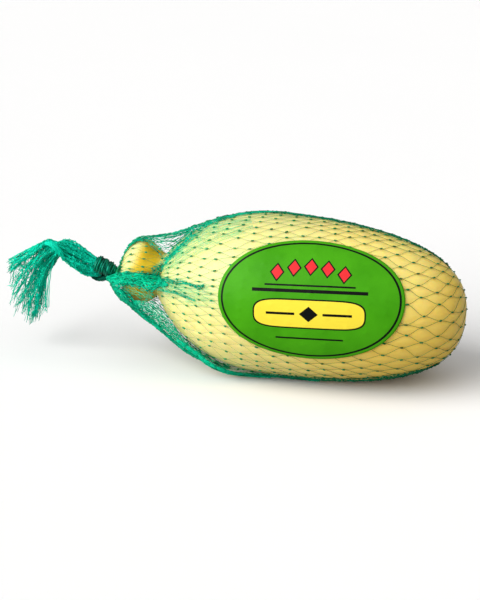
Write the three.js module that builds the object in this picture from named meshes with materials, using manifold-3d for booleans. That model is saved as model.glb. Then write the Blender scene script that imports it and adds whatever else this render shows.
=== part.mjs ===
// A scamorza cheese lying on its side in a knotted green net, with a wound tie at its neck,
// the loose tail of the net beyond the tie, and an oval paper label on its front.
// Millimetres, +Z up. +X runs along the cheese to its round end and the label faces -Y.
// The origin is the middle of the small flat spot that the cheese rests on.
import * as THREE from "three";
import { mergeVertices } from "three/addons/utils/BufferGeometryUtils.js";
import Module from "manifold-3d";

// Cheese: along its own axis, x = 0 is the widest section.
const BELLY_RADIUS = 37.5;
const ROUND_END = { length: 84.4, alongPower: 2.28, roundPower: 2.67 };
const SHOULDER = { length: 59, alongPower: 2.48, roundPower: 1.394 };
const HEAD = { x: -66.5, z: 3.4, halfLength: 11.2, halfDepth: 12.5, halfHeight: 15.6 };

// Lying position: the round end dips by this angle, and a thin slice is flattened by the weight.
const REST_PITCH = THREE.MathUtils.degToRad(2.75);
const REST_FLATTENING = 0.7;

// Net drawn from the tie over the head and shoulder, standing up a little above the shoulder
// and hanging in a bag below it, just clear of the ground.
const NECK = { x: -79.9, z: -1.6, radius: 3.3, slant: 3 };
const MERIDIANS = 96;
const STATIONS = 120;
const SAG_ABOVE = 2.1;
const CREST_ABOVE = { rise: 1.75, x: -36, reach: 11.2 };
const SLACK_BELOW = 4.2;
const BAG_BELOW = { drop: 4.2, x: -29, reach: 20.3 };
const BAG_CLEARANCE = 0.5;
const NECK_PUFF = { height: 6.1, reach: 28.6 };
const PLEATS = { count: 9, depth: 0.9, reach: 42 };

// Meshes of the net.
const MESHES_AROUND = 32;
const STRAND_LENGTH = 8.35;
const CLOSING_RADIUS = 4;
const KNOT_RISE = 0.3;
const STRAND_RISE = 0.1;
const CELL_DIP = 0.25;
const FRONT_SPREAD = 0.12;
const CLOSING_DRIFT = THREE.MathUtils.degToRad(50);
const GATHERS = [
  { angle: 98, width: 30, pull: 0.7 },
  { angle: 168, width: 28, pull: 0.55 },
  { angle: 258, width: 34, pull: 0.6 },
  { angle: 335, width: 26, pull: 0.45 },
];
const GATHER_END_X = -8;

// Label
const LABEL = { x: 19.5, angle: 70.6, tilt: 5.1, halfLength: 41.3, halfWidth: 28.4, thickness: 0.4 };
const LABEL_RINGS = [0.12, 0.3, 0.5, 0.7, 0.87, 1];
const LABEL_COLUMNS = 56;
const GAP = 0.35;

// Tie wound round the neck of the net, and the lobe of net pinched out under it.
const TIE = {
  start: new THREE.Vector3(-81.2, -0.6, -0.2),
  end: new THREE.Vector3(-91.5, -1, 3.4),
  startRadius: 2.1,
  endRadius: 3.9,
  swell: 0.3,
  turns: 9,
  ridge: 0.3,
};
const TIE_RINGS = 64;
const TIE_COLUMNS = 16;
const LOBE = { x: -88.4, y: 0.4, z: -3, halfLength: 3.8, halfDepth: 2.9, halfHeight: 2.7 };

// Tail: a flattened bundle between an upper and a lower edge, both listed as x and z from the tie to the end.
const TAIL_UPPER = [
  [-92.7, 5.9],
  [-95.6, 8.1],
  [-99.5, 10.6],
  [-105.2, 12.4],
  [-111, 10.9],
  [-114.6, 12],
  [-119.4, 9.1],
  [-125.9, 4.9],
  [-133.4, -0.2],
];
const TAIL_LOWER = [
  [-92.7, -4.7],
  [-95.4, -3.9],
  [-99.5, -1.9],
  [-104.7, 1.4],
  [-107.9, 5],
  [-110.9, 0.1],
  [-113.6, -6.4],
  [-113.7, -16],
  [-115.2, -29.6],
];
const TAIL_HALF_THICKNESS = [4.4, 4.6, 4.6, 4.4, 3.6, 3.8, 4.2, 3.9, 2.8];
const TAIL_BOW = 9.2;
const TAIL_BOW_SKEW = 0.6;
const TAIL_SWING = -4;
const TAIL_FOLDS = 3;
const TAIL_FRAY = 1.2;
const TAIL_RINGS = 27;
const TAIL_COLUMNS = 32;

const wasm = await Module();
wasm.setup();

function smooth(from, to, value) {
  return THREE.MathUtils.smoothstep(value, from, to);
}

// Radius of the bare cheese body at a place along its axis.
function bodyRadius(x) {
  const half = x < 0 ? SHOULDER : ROUND_END;
  const share = Math.min(Math.abs(x) / half.length, 1);
  return BELLY_RADIUS * (1 - share ** half.alongPower) ** (1 / half.roundPower);
}

// Distance from the axis to the far side of the head. Angle 0 points up and a quarter turn points to the front.
function headRadius(x, angle) {
  const sine = Math.sin(angle) / HEAD.halfDepth;
  const cosine = Math.cos(angle) / HEAD.halfHeight;
  const rise = HEAD.z / HEAD.halfHeight;
  const square = sine * sine + cosine * cosine;
  const linear = cosine * rise;
  const rest = ((x - HEAD.x) / HEAD.halfLength) ** 2 + rise * rise - 1;
  const root = linear * linear - square * rest;
  return root < 0 ? 0 : Math.max(0, (linear + Math.sqrt(root)) / square);
}

function neckRadius(angle) {
  const across = NECK.z * Math.sin(angle);
  return NECK.z * Math.cos(angle) + Math.sqrt(NECK.radius ** 2 - across ** 2);
}

function cheeseRadius(x, angle) {
  return Math.max(bodyRadius(x), headRadius(x, angle));
}

function stationX(station) {
  return NECK.x + (ROUND_END.length - NECK.x) * Math.sin((station / STATIONS) * Math.PI * 0.5);
}

// Looseness of the net beyond a string pulled tight along the cheese.
function looseness(x, angle) {
  const fromTop = THREE.MathUtils.radToDeg(
    Math.abs(THREE.MathUtils.euclideanModulo(angle + Math.PI, 2 * Math.PI) - Math.PI),
  );
  const crest = CREST_ABOVE.rise * Math.exp(-(((x - CREST_ABOVE.x) / CREST_ABOVE.reach) ** 2));
  const bag = BAG_BELOW.drop * Math.exp(-(((x - BAG_BELOW.x) / BAG_BELOW.reach) ** 2));
  return crest * (1 - smooth(30, 75, fromTop)) + bag * smooth(105, 150, fromTop);
}

// Bulge of the net just beyond the tie, mostly below it.
function neckPuff(x, angle) {
  const fromNeck = x - NECK.x;
  const puff = NECK_PUFF.height * smooth(0, 2.5, fromNeck) * (1 - smooth(2.5, NECK_PUFF.reach, fromNeck));
  return puff * ((1 - Math.cos(angle)) / 2) ** 2;
}

// Radius at which the net would come down to its clearance above the ground.
function groundRadius(x, angle) {
  const down = -Math.cos(angle) * Math.cos(REST_PITCH);
  const height = LYING.elements[14] - x * Math.sin(REST_PITCH) - BAG_CLEARANCE;
  return down > 0 ? height / down : Infinity;
}

// A string laid along the cheese at one angle, from the neck to the round end.
function netMeridian(angle) {
  const hull = [];
  for (let station = 0; station <= STATIONS; station += 1) {
    const x = stationX(station);
    const point = new THREE.Vector2(x, station === 0 ? neckRadius(angle) : cheeseRadius(x, angle));
    while (hull.length > 1) {
      const [first, second] = hull.slice(-2);
      const side = second.clone().sub(first).cross(point.clone().sub(first));
      if (side < 0) break;
      hull.pop();
    }
    hull.push(point);
  }
  const upward = (1 + Math.cos(angle)) / 2;
  const slack = SLACK_BELOW * (1 - upward) - SAG_ABOVE * upward;
  const radii = [];
  let edge = 0;
  for (let station = 0; station <= STATIONS; station += 1) {
    const x = stationX(station);
    while (edge < hull.length - 2 && hull[edge + 1].x < x) edge += 1;
    const from = hull[edge];
    const to = hull[edge + 1];
    const share = (x - from.x) / (to.x - from.x);
    const span = smooth(5, 30, to.x - from.x);
    const hang = 4 * share * (1 - share) * span * slack;
    const taut = Math.max(THREE.MathUtils.lerp(from.y, to.y, share) + hang, cheeseRadius(x, angle));
    const loose = Math.min(taut + looseness(x, angle) + neckPuff(x, angle), groundRadius(x, angle));
    radii.push(Math.max(loose, cheeseRadius(x, angle)));
  }
  return radii;
}

const LYING = lyingMatrix();
const netStrings = Array.from({ length: MERIDIANS }, (_, m) => netMeridian((m / MERIDIANS) * 2 * Math.PI));

// Outer radius of the net, evened out between neighbouring strings.
function netRadius(x, angle) {
  const share = THREE.MathUtils.clamp((x - NECK.x) / (ROUND_END.length - NECK.x), 0, 1);
  const place = (Math.asin(share) / (Math.PI * 0.5)) * STATIONS;
  const station = Math.min(Math.floor(place), STATIONS - 1);
  const along = place - station;
  const turn = (angle / (2 * Math.PI)) * MERIDIANS;
  let sum = 0;
  let weights = 0;
  for (let step = -3; step <= 3; step += 1) {
    const meridian = Math.floor(turn) + step;
    const radii = netStrings[THREE.MathUtils.euclideanModulo(meridian, MERIDIANS)];
    const weight = Math.max(0, 1 - Math.abs(turn - meridian) / 3);
    sum += weight * THREE.MathUtils.lerp(radii[station], radii[station + 1], along);
    weights += weight;
  }
  const fromNeck = x - NECK.x;
  const fold = PLEATS.depth * smooth(0, 4, fromNeck) * (1 - smooth(4, PLEATS.reach, fromNeck));
  return sum / weights + fold * Math.cos(PLEATS.count * angle);
}

// Places of the knot rings, and of the rings halfway between them, along the mean meridian of the net.
function netRings() {
  const meanRadius = (x) => netRadius(x, 0.25 * Math.PI) * 0.5 + netRadius(x, 1.25 * Math.PI) * 0.5;
  const rings = [NECK.x];
  let before = new THREE.Vector2(NECK.x, meanRadius(NECK.x));
  let walked = 0;
  for (let step = 1; step < 4000; step += 1) {
    const x = stationX((step / 4000) * STATIONS);
    const here = new THREE.Vector2(x, meanRadius(x));
    walked += here.distanceTo(before);
    before = here;
    const halfMesh = (Math.PI * here.y) / MESHES_AROUND;
    const halfRow = Math.sqrt(STRAND_LENGTH ** 2 - halfMesh ** 2) / 2;
    if (walked >= halfRow) {
      rings.push(x);
      walked = 0;
      if (x > 0 && here.y < CLOSING_RADIUS) break;
    }
  }
  return rings;
}

// Angle of a net column, spread at the front and gathered into folds towards the neck.
function columnAngle(x, turn) {
  let angle = turn - FRONT_SPREAD * Math.cos(turn);
  const gathered = 1 - smooth(NECK.x, GATHER_END_X, x);
  for (const gather of GATHERS) {
    const width = THREE.MathUtils.degToRad(gather.width);
    const off = THREE.MathUtils.euclideanModulo(
      turn - THREE.MathUtils.degToRad(gather.angle) + Math.PI,
      2 * Math.PI,
    ) - Math.PI;
    angle -= gathered * gather.pull * off * Math.exp(-0.5 * (off / width) ** 2);
  }
  return angle;
}

// Moves a place on the round end, so that the net closes at the back of it.
function drift(x, angle) {
  if (x <= 0) return [x, angle];
  const latitude = Math.asin(Math.min(x / ROUND_END.length, 1));
  const turned = new THREE.Vector3(
    Math.sin(latitude),
    -Math.cos(latitude) * Math.sin(angle),
    Math.cos(latitude) * Math.cos(angle),
  ).applyAxisAngle(new THREE.Vector3(0, 0, 1), CLOSING_DRIFT * smooth(0, Math.PI / 2, latitude));
  const length = turned.x < 0 ? SHOULDER.length : ROUND_END.length;
  return [turned.x * length, Math.atan2(-turned.y, turned.z)];
}

function surfacePoint(x, angle, radius) {
  return new THREE.Vector3(x, -radius * Math.sin(angle), radius * Math.cos(angle));
}

// Closes a stack of rings into a solid. Every second ring is turned by half a column.
function ringSolid(ringCount, columnCount, pointAt) {
  const points = [];
  for (let ring = 0; ring < ringCount; ring += 1) {
    for (let column = 0; column < columnCount; column += 1) {
      points.push(pointAt(ring, column + (ring % 2) / 2));
    }
  }
  const middle = (ring) => {
    const members = points.slice(ring * columnCount, (ring + 1) * columnCount);
    return members.reduce((sum, point) => sum.add(point), new THREE.Vector3()).divideScalar(columnCount);
  };
  const startPole = points.length;
  const endPole = startPole + 1;
  points.push(middle(0), middle(ringCount - 1));
  const faces = [];
  for (let column = 0; column < columnCount; column += 1) {
    const next = (column + 1) % columnCount;
    for (let ring = 0; ring < ringCount - 1; ring += 1) {
      const here = ring * columnCount + column;
      const beside = ring * columnCount + next;
      const ahead = here + columnCount;
      const across = beside + columnCount;
      if (ring % 2 === 0) faces.push(here, beside, ahead, beside, across, ahead);
      else faces.push(here, beside, across, here, across, ahead);
    }
    const last = (ringCount - 1) * columnCount;
    faces.push(next, column, startPole, last + column, last + next, endPole);
  }
  const geometry = new THREE.BufferGeometry().setFromPoints(points);
  geometry.setIndex(new THREE.BufferAttribute(new Uint32Array(faces), 1));
  return geometry;
}

// Shift of the lower side of the neck towards the tie.
function neckShift(x, angle, radius) {
  const drop = -radius * Math.cos(angle);
  const drawn = smooth(1.5, 4.5, drop) * (1 - smooth(4.5, 11, drop));
  return NECK.slant * drawn * (1 - smooth(0, 9, x - NECK.x));
}

function nettedCheeseGeometry() {
  const rings = netRings();
  const columns = 2 * MESHES_AROUND;
  return ringSolid(rings.length, columns, (ring, column) => {
    const turn = (column / columns) * 2 * Math.PI;
    const [x, angle] = drift(rings[ring], columnAngle(rings[ring], turn));
    let rise = STRAND_RISE;
    if (ring % 2 === 0) rise = (ring / 2 + column) % 2 === 0 ? KNOT_RISE : -CELL_DIP;
    const radius = netRadius(x, angle) + rise;
    return surfacePoint(x - neckShift(x, angle, radius), angle, radius);
  });
}

function labelGeometry() {
  const tilt = THREE.MathUtils.degToRad(LABEL.tilt);
  const middle = THREE.MathUtils.degToRad(LABEL.angle);
  const sides = LABEL_RINGS.length;
  return ringSolid(2 * sides, LABEL_COLUMNS, (ring, column) => {
    const outside = ring >= sides;
    const share = outside ? LABEL_RINGS[2 * sides - 1 - ring] : LABEL_RINGS[ring];
    const turn = (column / LABEL_COLUMNS) * 2 * Math.PI;
    const along = share * LABEL.halfLength * Math.cos(turn);
    const across = share * LABEL.halfWidth * Math.sin(turn);
    const x = LABEL.x + along * Math.cos(tilt) - across * Math.sin(tilt);
    const up = along * Math.sin(tilt) + across * Math.cos(tilt);
    const angle = middle - up / bodyRadius(x);
    const lift = KNOT_RISE + GAP + (outside ? LABEL.thickness : 0);
    return surfacePoint(x, angle, netRadius(x, angle) + lift);
  });
}

function tieGeometry() {
  const axis = TIE.end.clone().sub(TIE.start);
  const length = axis.length();
  axis.normalize();
  const up = new THREE.Vector3(0, 1, 0).cross(axis);
  const aside = axis.clone().cross(up);
  return ringSolid(TIE_RINGS, TIE_COLUMNS, (ring, column) => {
    const share = ring / (TIE_RINGS - 1);
    const turn = (column / TIE_COLUMNS) * 2 * Math.PI;
    const rounding = Math.sqrt(Math.max(0, 1 - Math.abs(2 * share - 1) ** 8));
    const barrel = THREE.MathUtils.lerp(TIE.startRadius, TIE.endRadius, share ** TIE.swell);
    const ridge = TIE.ridge * Math.cos(2 * Math.PI * TIE.turns * share - turn);
    const radius = (barrel + ridge) * Math.max(rounding, 0.35);
    return TIE.start
      .clone()
      .addScaledVector(axis, share * length)
      .addScaledVector(up, radius * Math.cos(turn))
      .addScaledVector(aside, radius * Math.sin(turn));
  });
}

function lobeGeometry() {
  return new THREE.SphereGeometry(1, 20, 12)
    .scale(LOBE.halfLength, LOBE.halfDepth, LOBE.halfHeight)
    .translate(LOBE.x, LOBE.y, LOBE.z);
}

function tailGeometry() {
  const edge = (pairs) => new THREE.SplineCurve(pairs.map(([x, z]) => new THREE.Vector2(x, z)));
  const upper = edge(TAIL_UPPER);
  const lower = edge(TAIL_LOWER);
  const thickness = edge(TAIL_HALF_THICKNESS.map((half, index) => [index, half]));
  return ringSolid(TAIL_RINGS, TAIL_COLUMNS, (ring, column) => {
    const share = ring / (TAIL_RINGS - 1);
    const turn = (column / TAIL_COLUMNS) * 2 * Math.PI;
    const top = upper.getPoint(share);
    const bottom = lower.getPoint(share);
    const side = Math.cos(turn);
    const across = bottom.clone().sub(top);
    const outward = new THREE.Vector2(across.y, -across.x).normalize();
    const fanned = smooth(0.5, 1, share);
    const fray = TAIL_FRAY * smooth(0.85, 1, share) * Math.cos(5 * Math.PI * side);
    const place = top
      .clone()
      .lerp(bottom, (1 - side) / 2)
      .addScaledVector(outward, fanned * TAIL_BOW * (1 - side * side) * (1 - TAIL_BOW_SKEW * side) + fray);
    const fold = 1 + 0.25 * Math.cos(TAIL_FOLDS * Math.PI * side) * smooth(0, 0.15, share);
    const depth = thickness.getPoint(share).y * Math.sin(turn) * fold;
    return new THREE.Vector3(place.x, TAIL_SWING * smooth(0.3, 1, share) + depth, place.y);
  });
}

function toSolid(geometry) {
  const bare = new THREE.BufferGeometry().setAttribute("position", geometry.getAttribute("position"));
  bare.setIndex(geometry.index);
  const welded = mergeVertices(bare, 1e-4);
  return new wasm.Manifold(
    new wasm.Mesh({
      numProp: 3,
      vertProperties: new Float32Array(welded.attributes.position.array),
      triVerts: new Uint32Array(welded.index.array),
    }),
  );
}

function toGeometry(solid) {
  const { vertProperties, triVerts } = solid.getMesh();
  return new THREE.BufferGeometry()
    .setAttribute("position", new THREE.BufferAttribute(vertProperties, 3))
    .setIndex(new THREE.BufferAttribute(triVerts, 1));
}

// Takes the axis of the cheese to the lying position, with the flat spot on the ground at the origin.
function lyingMatrix() {
  const turned = new THREE.Matrix4().makeRotationY(REST_PITCH);
  let lowest = new THREE.Vector3(0, 0, Infinity);
  for (let x = -SHOULDER.length; x < ROUND_END.length; x += 0.1) {
    const point = new THREE.Vector3(x, 0, -bodyRadius(x)).applyMatrix4(turned);
    if (point.z < lowest.z) lowest = point;
  }
  return new THREE.Matrix4().makeTranslation(-lowest.x, 0, -lowest.z - REST_FLATTENING).multiply(turned);
}

function ground() {
  return new THREE.BoxGeometry(400, 200, 20).translate(0, 0, -10);
}

function part(name, geometry, color, roughness) {
  geometry.computeVertexNormals();
  const mesh = new THREE.Mesh(geometry, new THREE.MeshStandardMaterial({ color, roughness }));
  mesh.name = name;
  return mesh;
}

const nettedCheese = toSolid(nettedCheeseGeometry().applyMatrix4(LYING)).subtract(toSolid(ground()));
const tie = toSolid(tieGeometry()).add(toSolid(lobeGeometry()));

const scamorza = new THREE.Group();
scamorza.name = "scamorza";
scamorza.add(part("netted_cheese", toGeometry(nettedCheese), 0xe6d27a, 0.45));

const onAxis = new THREE.Group();
onAxis.applyMatrix4(LYING);
onAxis.add(part("label", labelGeometry(), 0x4bb21e, 0.35));
onAxis.add(part("tie", toGeometry(tie), 0x0a6b4c, 0.4));
onAxis.add(part("net_tail", tailGeometry(), 0x12a078, 0.45));
scamorza.add(onAxis);

export default scamorza;
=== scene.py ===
"""Looks of a scamorza cheese lying in a knotted green net, with its tie, its net tail and its oval label."""
import logging
import math
from collections.abc import Iterator
from contextlib import contextmanager
from dataclasses import dataclass, field
from enum import Enum

import bpy
import numpy as np
from mathutils import Matrix, Vector
from mathutils.kdtree import KDTree


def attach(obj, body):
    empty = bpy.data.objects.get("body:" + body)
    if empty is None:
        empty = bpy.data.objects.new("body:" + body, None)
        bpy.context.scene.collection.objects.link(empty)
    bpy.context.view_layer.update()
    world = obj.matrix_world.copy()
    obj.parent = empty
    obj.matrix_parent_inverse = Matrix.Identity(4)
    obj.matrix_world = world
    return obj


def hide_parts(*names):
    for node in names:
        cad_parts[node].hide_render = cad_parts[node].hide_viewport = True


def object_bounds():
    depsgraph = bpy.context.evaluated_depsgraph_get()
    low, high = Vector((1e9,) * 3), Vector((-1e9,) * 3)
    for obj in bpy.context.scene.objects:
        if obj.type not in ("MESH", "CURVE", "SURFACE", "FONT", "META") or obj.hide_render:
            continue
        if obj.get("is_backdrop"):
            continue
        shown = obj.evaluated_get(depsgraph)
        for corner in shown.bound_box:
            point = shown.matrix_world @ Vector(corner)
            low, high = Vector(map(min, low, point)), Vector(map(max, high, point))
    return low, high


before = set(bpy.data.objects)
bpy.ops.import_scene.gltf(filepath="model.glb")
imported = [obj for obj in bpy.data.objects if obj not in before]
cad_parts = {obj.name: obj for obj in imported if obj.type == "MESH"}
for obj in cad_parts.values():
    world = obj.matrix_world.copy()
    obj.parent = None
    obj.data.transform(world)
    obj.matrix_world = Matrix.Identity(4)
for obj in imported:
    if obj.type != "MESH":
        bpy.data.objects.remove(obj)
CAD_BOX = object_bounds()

LOG = logging.getLogger("scamorza")
MM = 0.001
AHEAD = np.array([1.0, 0.0, 0.0])
BACKWARD = np.array([0.0, 1.0, 0.0])
GRAIN_RANGE = (0.3, 0.7)
Array = np.ndarray
Pair = tuple[float, float]
Triple = tuple[float, float, float]
Quad = tuple[float, float, float, float]
Colour = Quad
Piece = bpy.types.Object
Socket = bpy.types.NodeSocket
Draw = np.random.Generator


class Slot(Enum):
    """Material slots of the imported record."""

    CHEESE = "cheese"
    NET = "net"
    TIE = "tie"
    LABEL = "label"


class Solid(Enum):
    """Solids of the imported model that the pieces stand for."""

    NETTED_CHEESE = "netted_cheese"
    LABEL = "label"
    TIE = "tie"
    NET_TAIL = "net_tail"


class Shape(Enum):
    """Outlines of the fields printed on the label."""

    DIAMOND = "diamond"
    CARTOUCHE = "cartouche"
    RULE = "rule"


def smoothstep(low: float, high: float, value: Array | float) -> Array:
    """Ease from 0 to 1 as values go from low to high."""
    share = np.clip((np.asarray(value, dtype=float) - low) / (high - low), 0.0, 1.0)
    return share * share * (3.0 - 2.0 * share)


def plateau(edges: Quad, value: Array | float) -> Array:
    """Ease from 0 to 1 between the first two edges and back to 0 between the last two."""
    return smoothstep(edges[0], edges[1], value) * (1.0 - smoothstep(edges[2], edges[3], value))


def signed_turn(angle: Array) -> Array:
    """Bring angles to the range from minus half a turn to half a turn."""
    return np.mod(angle + np.pi, 2.0 * np.pi) - np.pi


def mesh_links(rows: int) -> Iterator[tuple[int, int]]:
    """Walk over the strands between the rows of a net, whose odd rows lie half a mesh further on.

    Args:
        rows: Number of rows that strands start from.

    Yields:
        The row, and how many columns further on its strands end in the next row.
    """
    for row in range(rows):
        for side in (-1, 0):
            yield row, side + row % 2


def unit(vectors: Array) -> Array:
    """Scale vectors on the last axis to length 1."""
    return vectors / np.maximum(np.linalg.norm(vectors, axis=-1, keepdims=True), 1e-12)


def make_active(piece: Piece) -> None:
    """Select one piece alone and make it the active one.

    Args:
        piece: The piece.
    """
    bpy.ops.object.select_all(action="DESELECT")
    piece.select_set(True)
    bpy.context.view_layer.objects.active = piece


@contextmanager
def edit_mode() -> Iterator[None]:
    """Work on the whole active piece in edit mode, and go back to object mode after it.

    Yields:
        Nothing, while edit mode is on.
    """
    bpy.ops.object.mode_set(mode="EDIT")
    bpy.ops.mesh.select_all(action="SELECT")
    yield
    bpy.ops.object.mode_set(mode="OBJECT")


def turn_faces_out() -> None:
    """Turn all faces of the piece in edit mode to its outside."""
    bpy.ops.mesh.select_all(action="SELECT")
    bpy.ops.mesh.normals_make_consistent(inside=False)


def added_piece(name: str) -> Piece:
    """Name the primitive that was added last and write its place into its mesh.

    Args:
        name: Name of the piece.

    Returns:
        The piece.
    """
    piece = bpy.context.object
    piece.name = piece.data.name = name
    bpy.ops.object.transform_apply(location=True, rotation=True, scale=True)
    return piece


def apply_modifier(piece: Piece, kind: str, **values: object) -> None:
    """Add a modifier to a piece and apply it.

    Args:
        piece: Piece to change.
        kind: Blender's modifier type.
        **values: Settings of the modifier.
    """
    make_active(piece)
    modifier = piece.modifiers.new(kind.lower(), kind)
    for name, value in values.items():
        setattr(modifier, name, value)
    bpy.ops.object.modifier_apply(modifier=modifier.name)


def apply_place(piece: Piece, place: Matrix) -> None:
    """Move a piece and write its place into its mesh.

    Args:
        piece: Piece to move.
        place: Matrix that takes the piece to the shared frame.
    """
    make_active(piece)
    piece.matrix_world = place @ piece.matrix_world
    bpy.ops.object.transform_apply(location=True, rotation=True, scale=True)


def read_points(piece: Piece) -> Array:
    """Read the vertex places of a piece.

    Args:
        piece: The piece.

    Returns:
        Places in the piece's own frame, one row each.
    """
    points = np.empty(len(piece.data.vertices) * 3)
    piece.data.vertices.foreach_get("co", points)
    return points.reshape(-1, 3)


def write_points(piece: Piece, points: Array) -> None:
    """Write vertex places back to a piece."""
    piece.data.vertices.foreach_set("co", points.ravel())
    piece.data.update()


def vertex_normals(piece: Piece) -> Array:
    """Read the vertex normals of a piece.

    Args:
        piece: The piece.

    Returns:
        Normals of length 1, one row each.
    """
    normals = np.empty(len(piece.data.vertices) * 3)
    piece.data.vertex_normals.foreach_get("vector", normals)
    return normals.reshape(-1, 3)


def nearest_distance(sources: Array, targets: Array) -> Array:
    """Distance from each target point to the nearest source point.

    Args:
        sources: Points that are searched, one row each.
        targets: Points that are measured from, one row each.

    Returns:
        One distance for each target.
    """
    tree = KDTree(len(sources))
    for index, point in enumerate(sources):
        tree.insert(point, index)
    tree.balance()
    return np.array([tree.find(point)[2] for point in targets])


def mesh_piece(name: str, points: Array, faces: list[Array], tone: Array) -> Piece:
    """Build a smooth mesh object from arrays.

    Args:
        name: Name of the piece.
        points: Vertex places in metres, one row each.
        faces: Arrays of vertex numbers, each with faces of one size.
        tone: Tint of each vertex from 0 to 1.

    Returns:
        The new object, linked to the scene.
    """
    mesh = bpy.data.meshes.new(name)
    sizes = np.concatenate([np.full(len(group), group.shape[1]) for group in faces])
    corners = np.concatenate([group.ravel() for group in faces])
    mesh.vertices.add(len(points))
    mesh.vertices.foreach_set("co", np.asarray(points, dtype=np.float32).ravel())
    mesh.loops.add(len(corners))
    mesh.loops.foreach_set("vertex_index", corners.astype(np.int32))
    mesh.polygons.add(len(sizes))
    mesh.polygons.foreach_set("loop_start", (np.cumsum(sizes) - sizes).astype(np.int32))
    mesh.update(calc_edges=True)
    mesh.attributes.new("tone", "FLOAT", "POINT").data.foreach_set("value", tone.astype(np.float32))
    mesh.validate()
    mesh.shade_smooth()
    piece = bpy.data.objects.new(name, mesh)
    bpy.context.scene.collection.objects.link(piece)
    return piece


def tube_piece(
    name: str, paths: Array, radii: Array | float, outward: Array, sides: int, tone: Array
) -> Piece:
    """Build many closed tubes as one mesh.

    Args:
        name: Name of the piece.
        paths: Points of each tube in metres, shaped tube, point, 3.
        radii: Radius for all points, or at each point, shaped tube, point.
        outward: Rough outward direction for all points, or at each point, shaped as paths.
        sides: Number of sides of a tube.
        tone: Tint of each tube from 0 to 1.

    Returns:
        The new object, linked to the scene.
    """
    tubes, steps, _ = paths.shape
    along = unit(np.gradient(paths, axis=1))
    beside = unit(np.cross(along, outward))
    above = np.cross(beside, along)
    turn = np.arange(sides) * 2.0 * np.pi / sides
    spoke = np.cos(turn)[:, None] * above[:, :, None, :]
    spoke = spoke + np.sin(turn)[:, None] * beside[:, :, None, :]
    reach = np.broadcast_to(radii, (tubes, steps))
    points = paths[:, :, None, :] + reach[:, :, None, None] * spoke
    number = np.arange(tubes * steps * sides).reshape(tubes, steps, sides)
    here, ahead = number[:, :-1], number[:, 1:]
    walls = np.stack([here, np.roll(here, -1, axis=2), np.roll(ahead, -1, axis=2), ahead], axis=-1)
    faces = [walls.reshape(-1, 4), number[:, 0, ::-1], number[:, -1]]
    return mesh_piece(name, points.reshape(-1, 3), faces, np.repeat(tone, steps * sides))


def settle(piece: Piece, solid: Solid, material: bpy.types.Material) -> None:
    """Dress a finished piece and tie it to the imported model.

    Args:
        piece: Finished piece at the origin.
        solid: Solid that the piece stands for.
        material: Finish of the piece.
    """
    piece.data.materials.clear()
    piece.data.materials.append(material)
    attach(piece, "root")
    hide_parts(solid.value)
    LOG.info("%s: %d vertices", piece.name, len(piece.data.vertices))


class Wires:
    """Nodes and links of one material or node group."""

    def __init__(self, tree: bpy.types.NodeTree) -> None:
        """Start from an empty tree."""
        self.tree = tree
        self.tree.nodes.clear()

    def add(
        self, kind: str, inputs: dict[str, object] | None = None, **values: object
    ) -> bpy.types.Node:
        """Add a node and feed its inputs.

        Args:
            kind: Blender's node type.
            inputs: Sockets or values by input name.
            **values: Properties of the node.

        Returns:
            The new node.
        """
        node = self.tree.nodes.new(kind)
        for name, value in values.items():
            setattr(node, name, value)
        for name, source in (inputs or {}).items():
            self.feed(node.inputs[name], source)
        return node

    def feed(self, socket: Socket, source: object) -> None:
        """Link a socket to a source, or set its value.

        Args:
            socket: Socket of a node in this tree.
            source: Socket to link from, or a value.
        """
        if isinstance(source, Socket):
            self.tree.links.new(source, socket)
        else:
            socket.default_value = source

    def math(self, operation: str, *terms: object) -> Socket:
        """Add a math node.

        Args:
            operation: Blender's math operation.
            *terms: Sockets or numbers for its inputs.

        Returns:
            Its output.
        """
        node = self.add("ShaderNodeMath", operation=operation)
        for socket, term in zip(node.inputs, terms):
            self.feed(socket, term)
        return node.outputs[0]

    def mix(self, share: object, first: object, second: object) -> Socket:
        """Mix two colours.

        Args:
            share: Socket or number, 0 for the first colour and 1 for the second.
            first: Socket or colour.
            second: Socket or colour.

        Returns:
            The mixed colour.
        """
        node = self.add("ShaderNodeMix", data_type="RGBA")
        self.feed(node.inputs[0], share)
        self.feed(node.inputs[6], first)
        self.feed(node.inputs[7], second)
        return node.outputs[2]

    def remap(self, value: object, low: float, high: float, start: float, end: float) -> Socket:
        """Ease a value from one range over another, and clamp it.

        Args:
            value: Socket or number.
            low: Value that becomes start.
            high: Value that becomes end.
            start: Result at the low value.
            end: Result at the high value.

        Returns:
            The eased value.
        """
        node = self.add("ShaderNodeMapRange", interpolation_type="SMOOTHSTEP")
        for socket, term in zip(node.inputs, (value, low, high, start, end)):
            self.feed(socket, term)
        return node.outputs[0]

    def principled(self, **inputs: object) -> None:
        """Add the surface shader and its output.

        Args:
            **inputs: Sockets or values by input name, with underscores for spaces.
        """
        named = {name.replace("_", " "): source for name, source in inputs.items()}
        shader = self.add("ShaderNodeBsdfPrincipled", named)
        self.tree.links.new(shader.outputs[0], self.add("ShaderNodeOutputMaterial").inputs[0])


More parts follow.
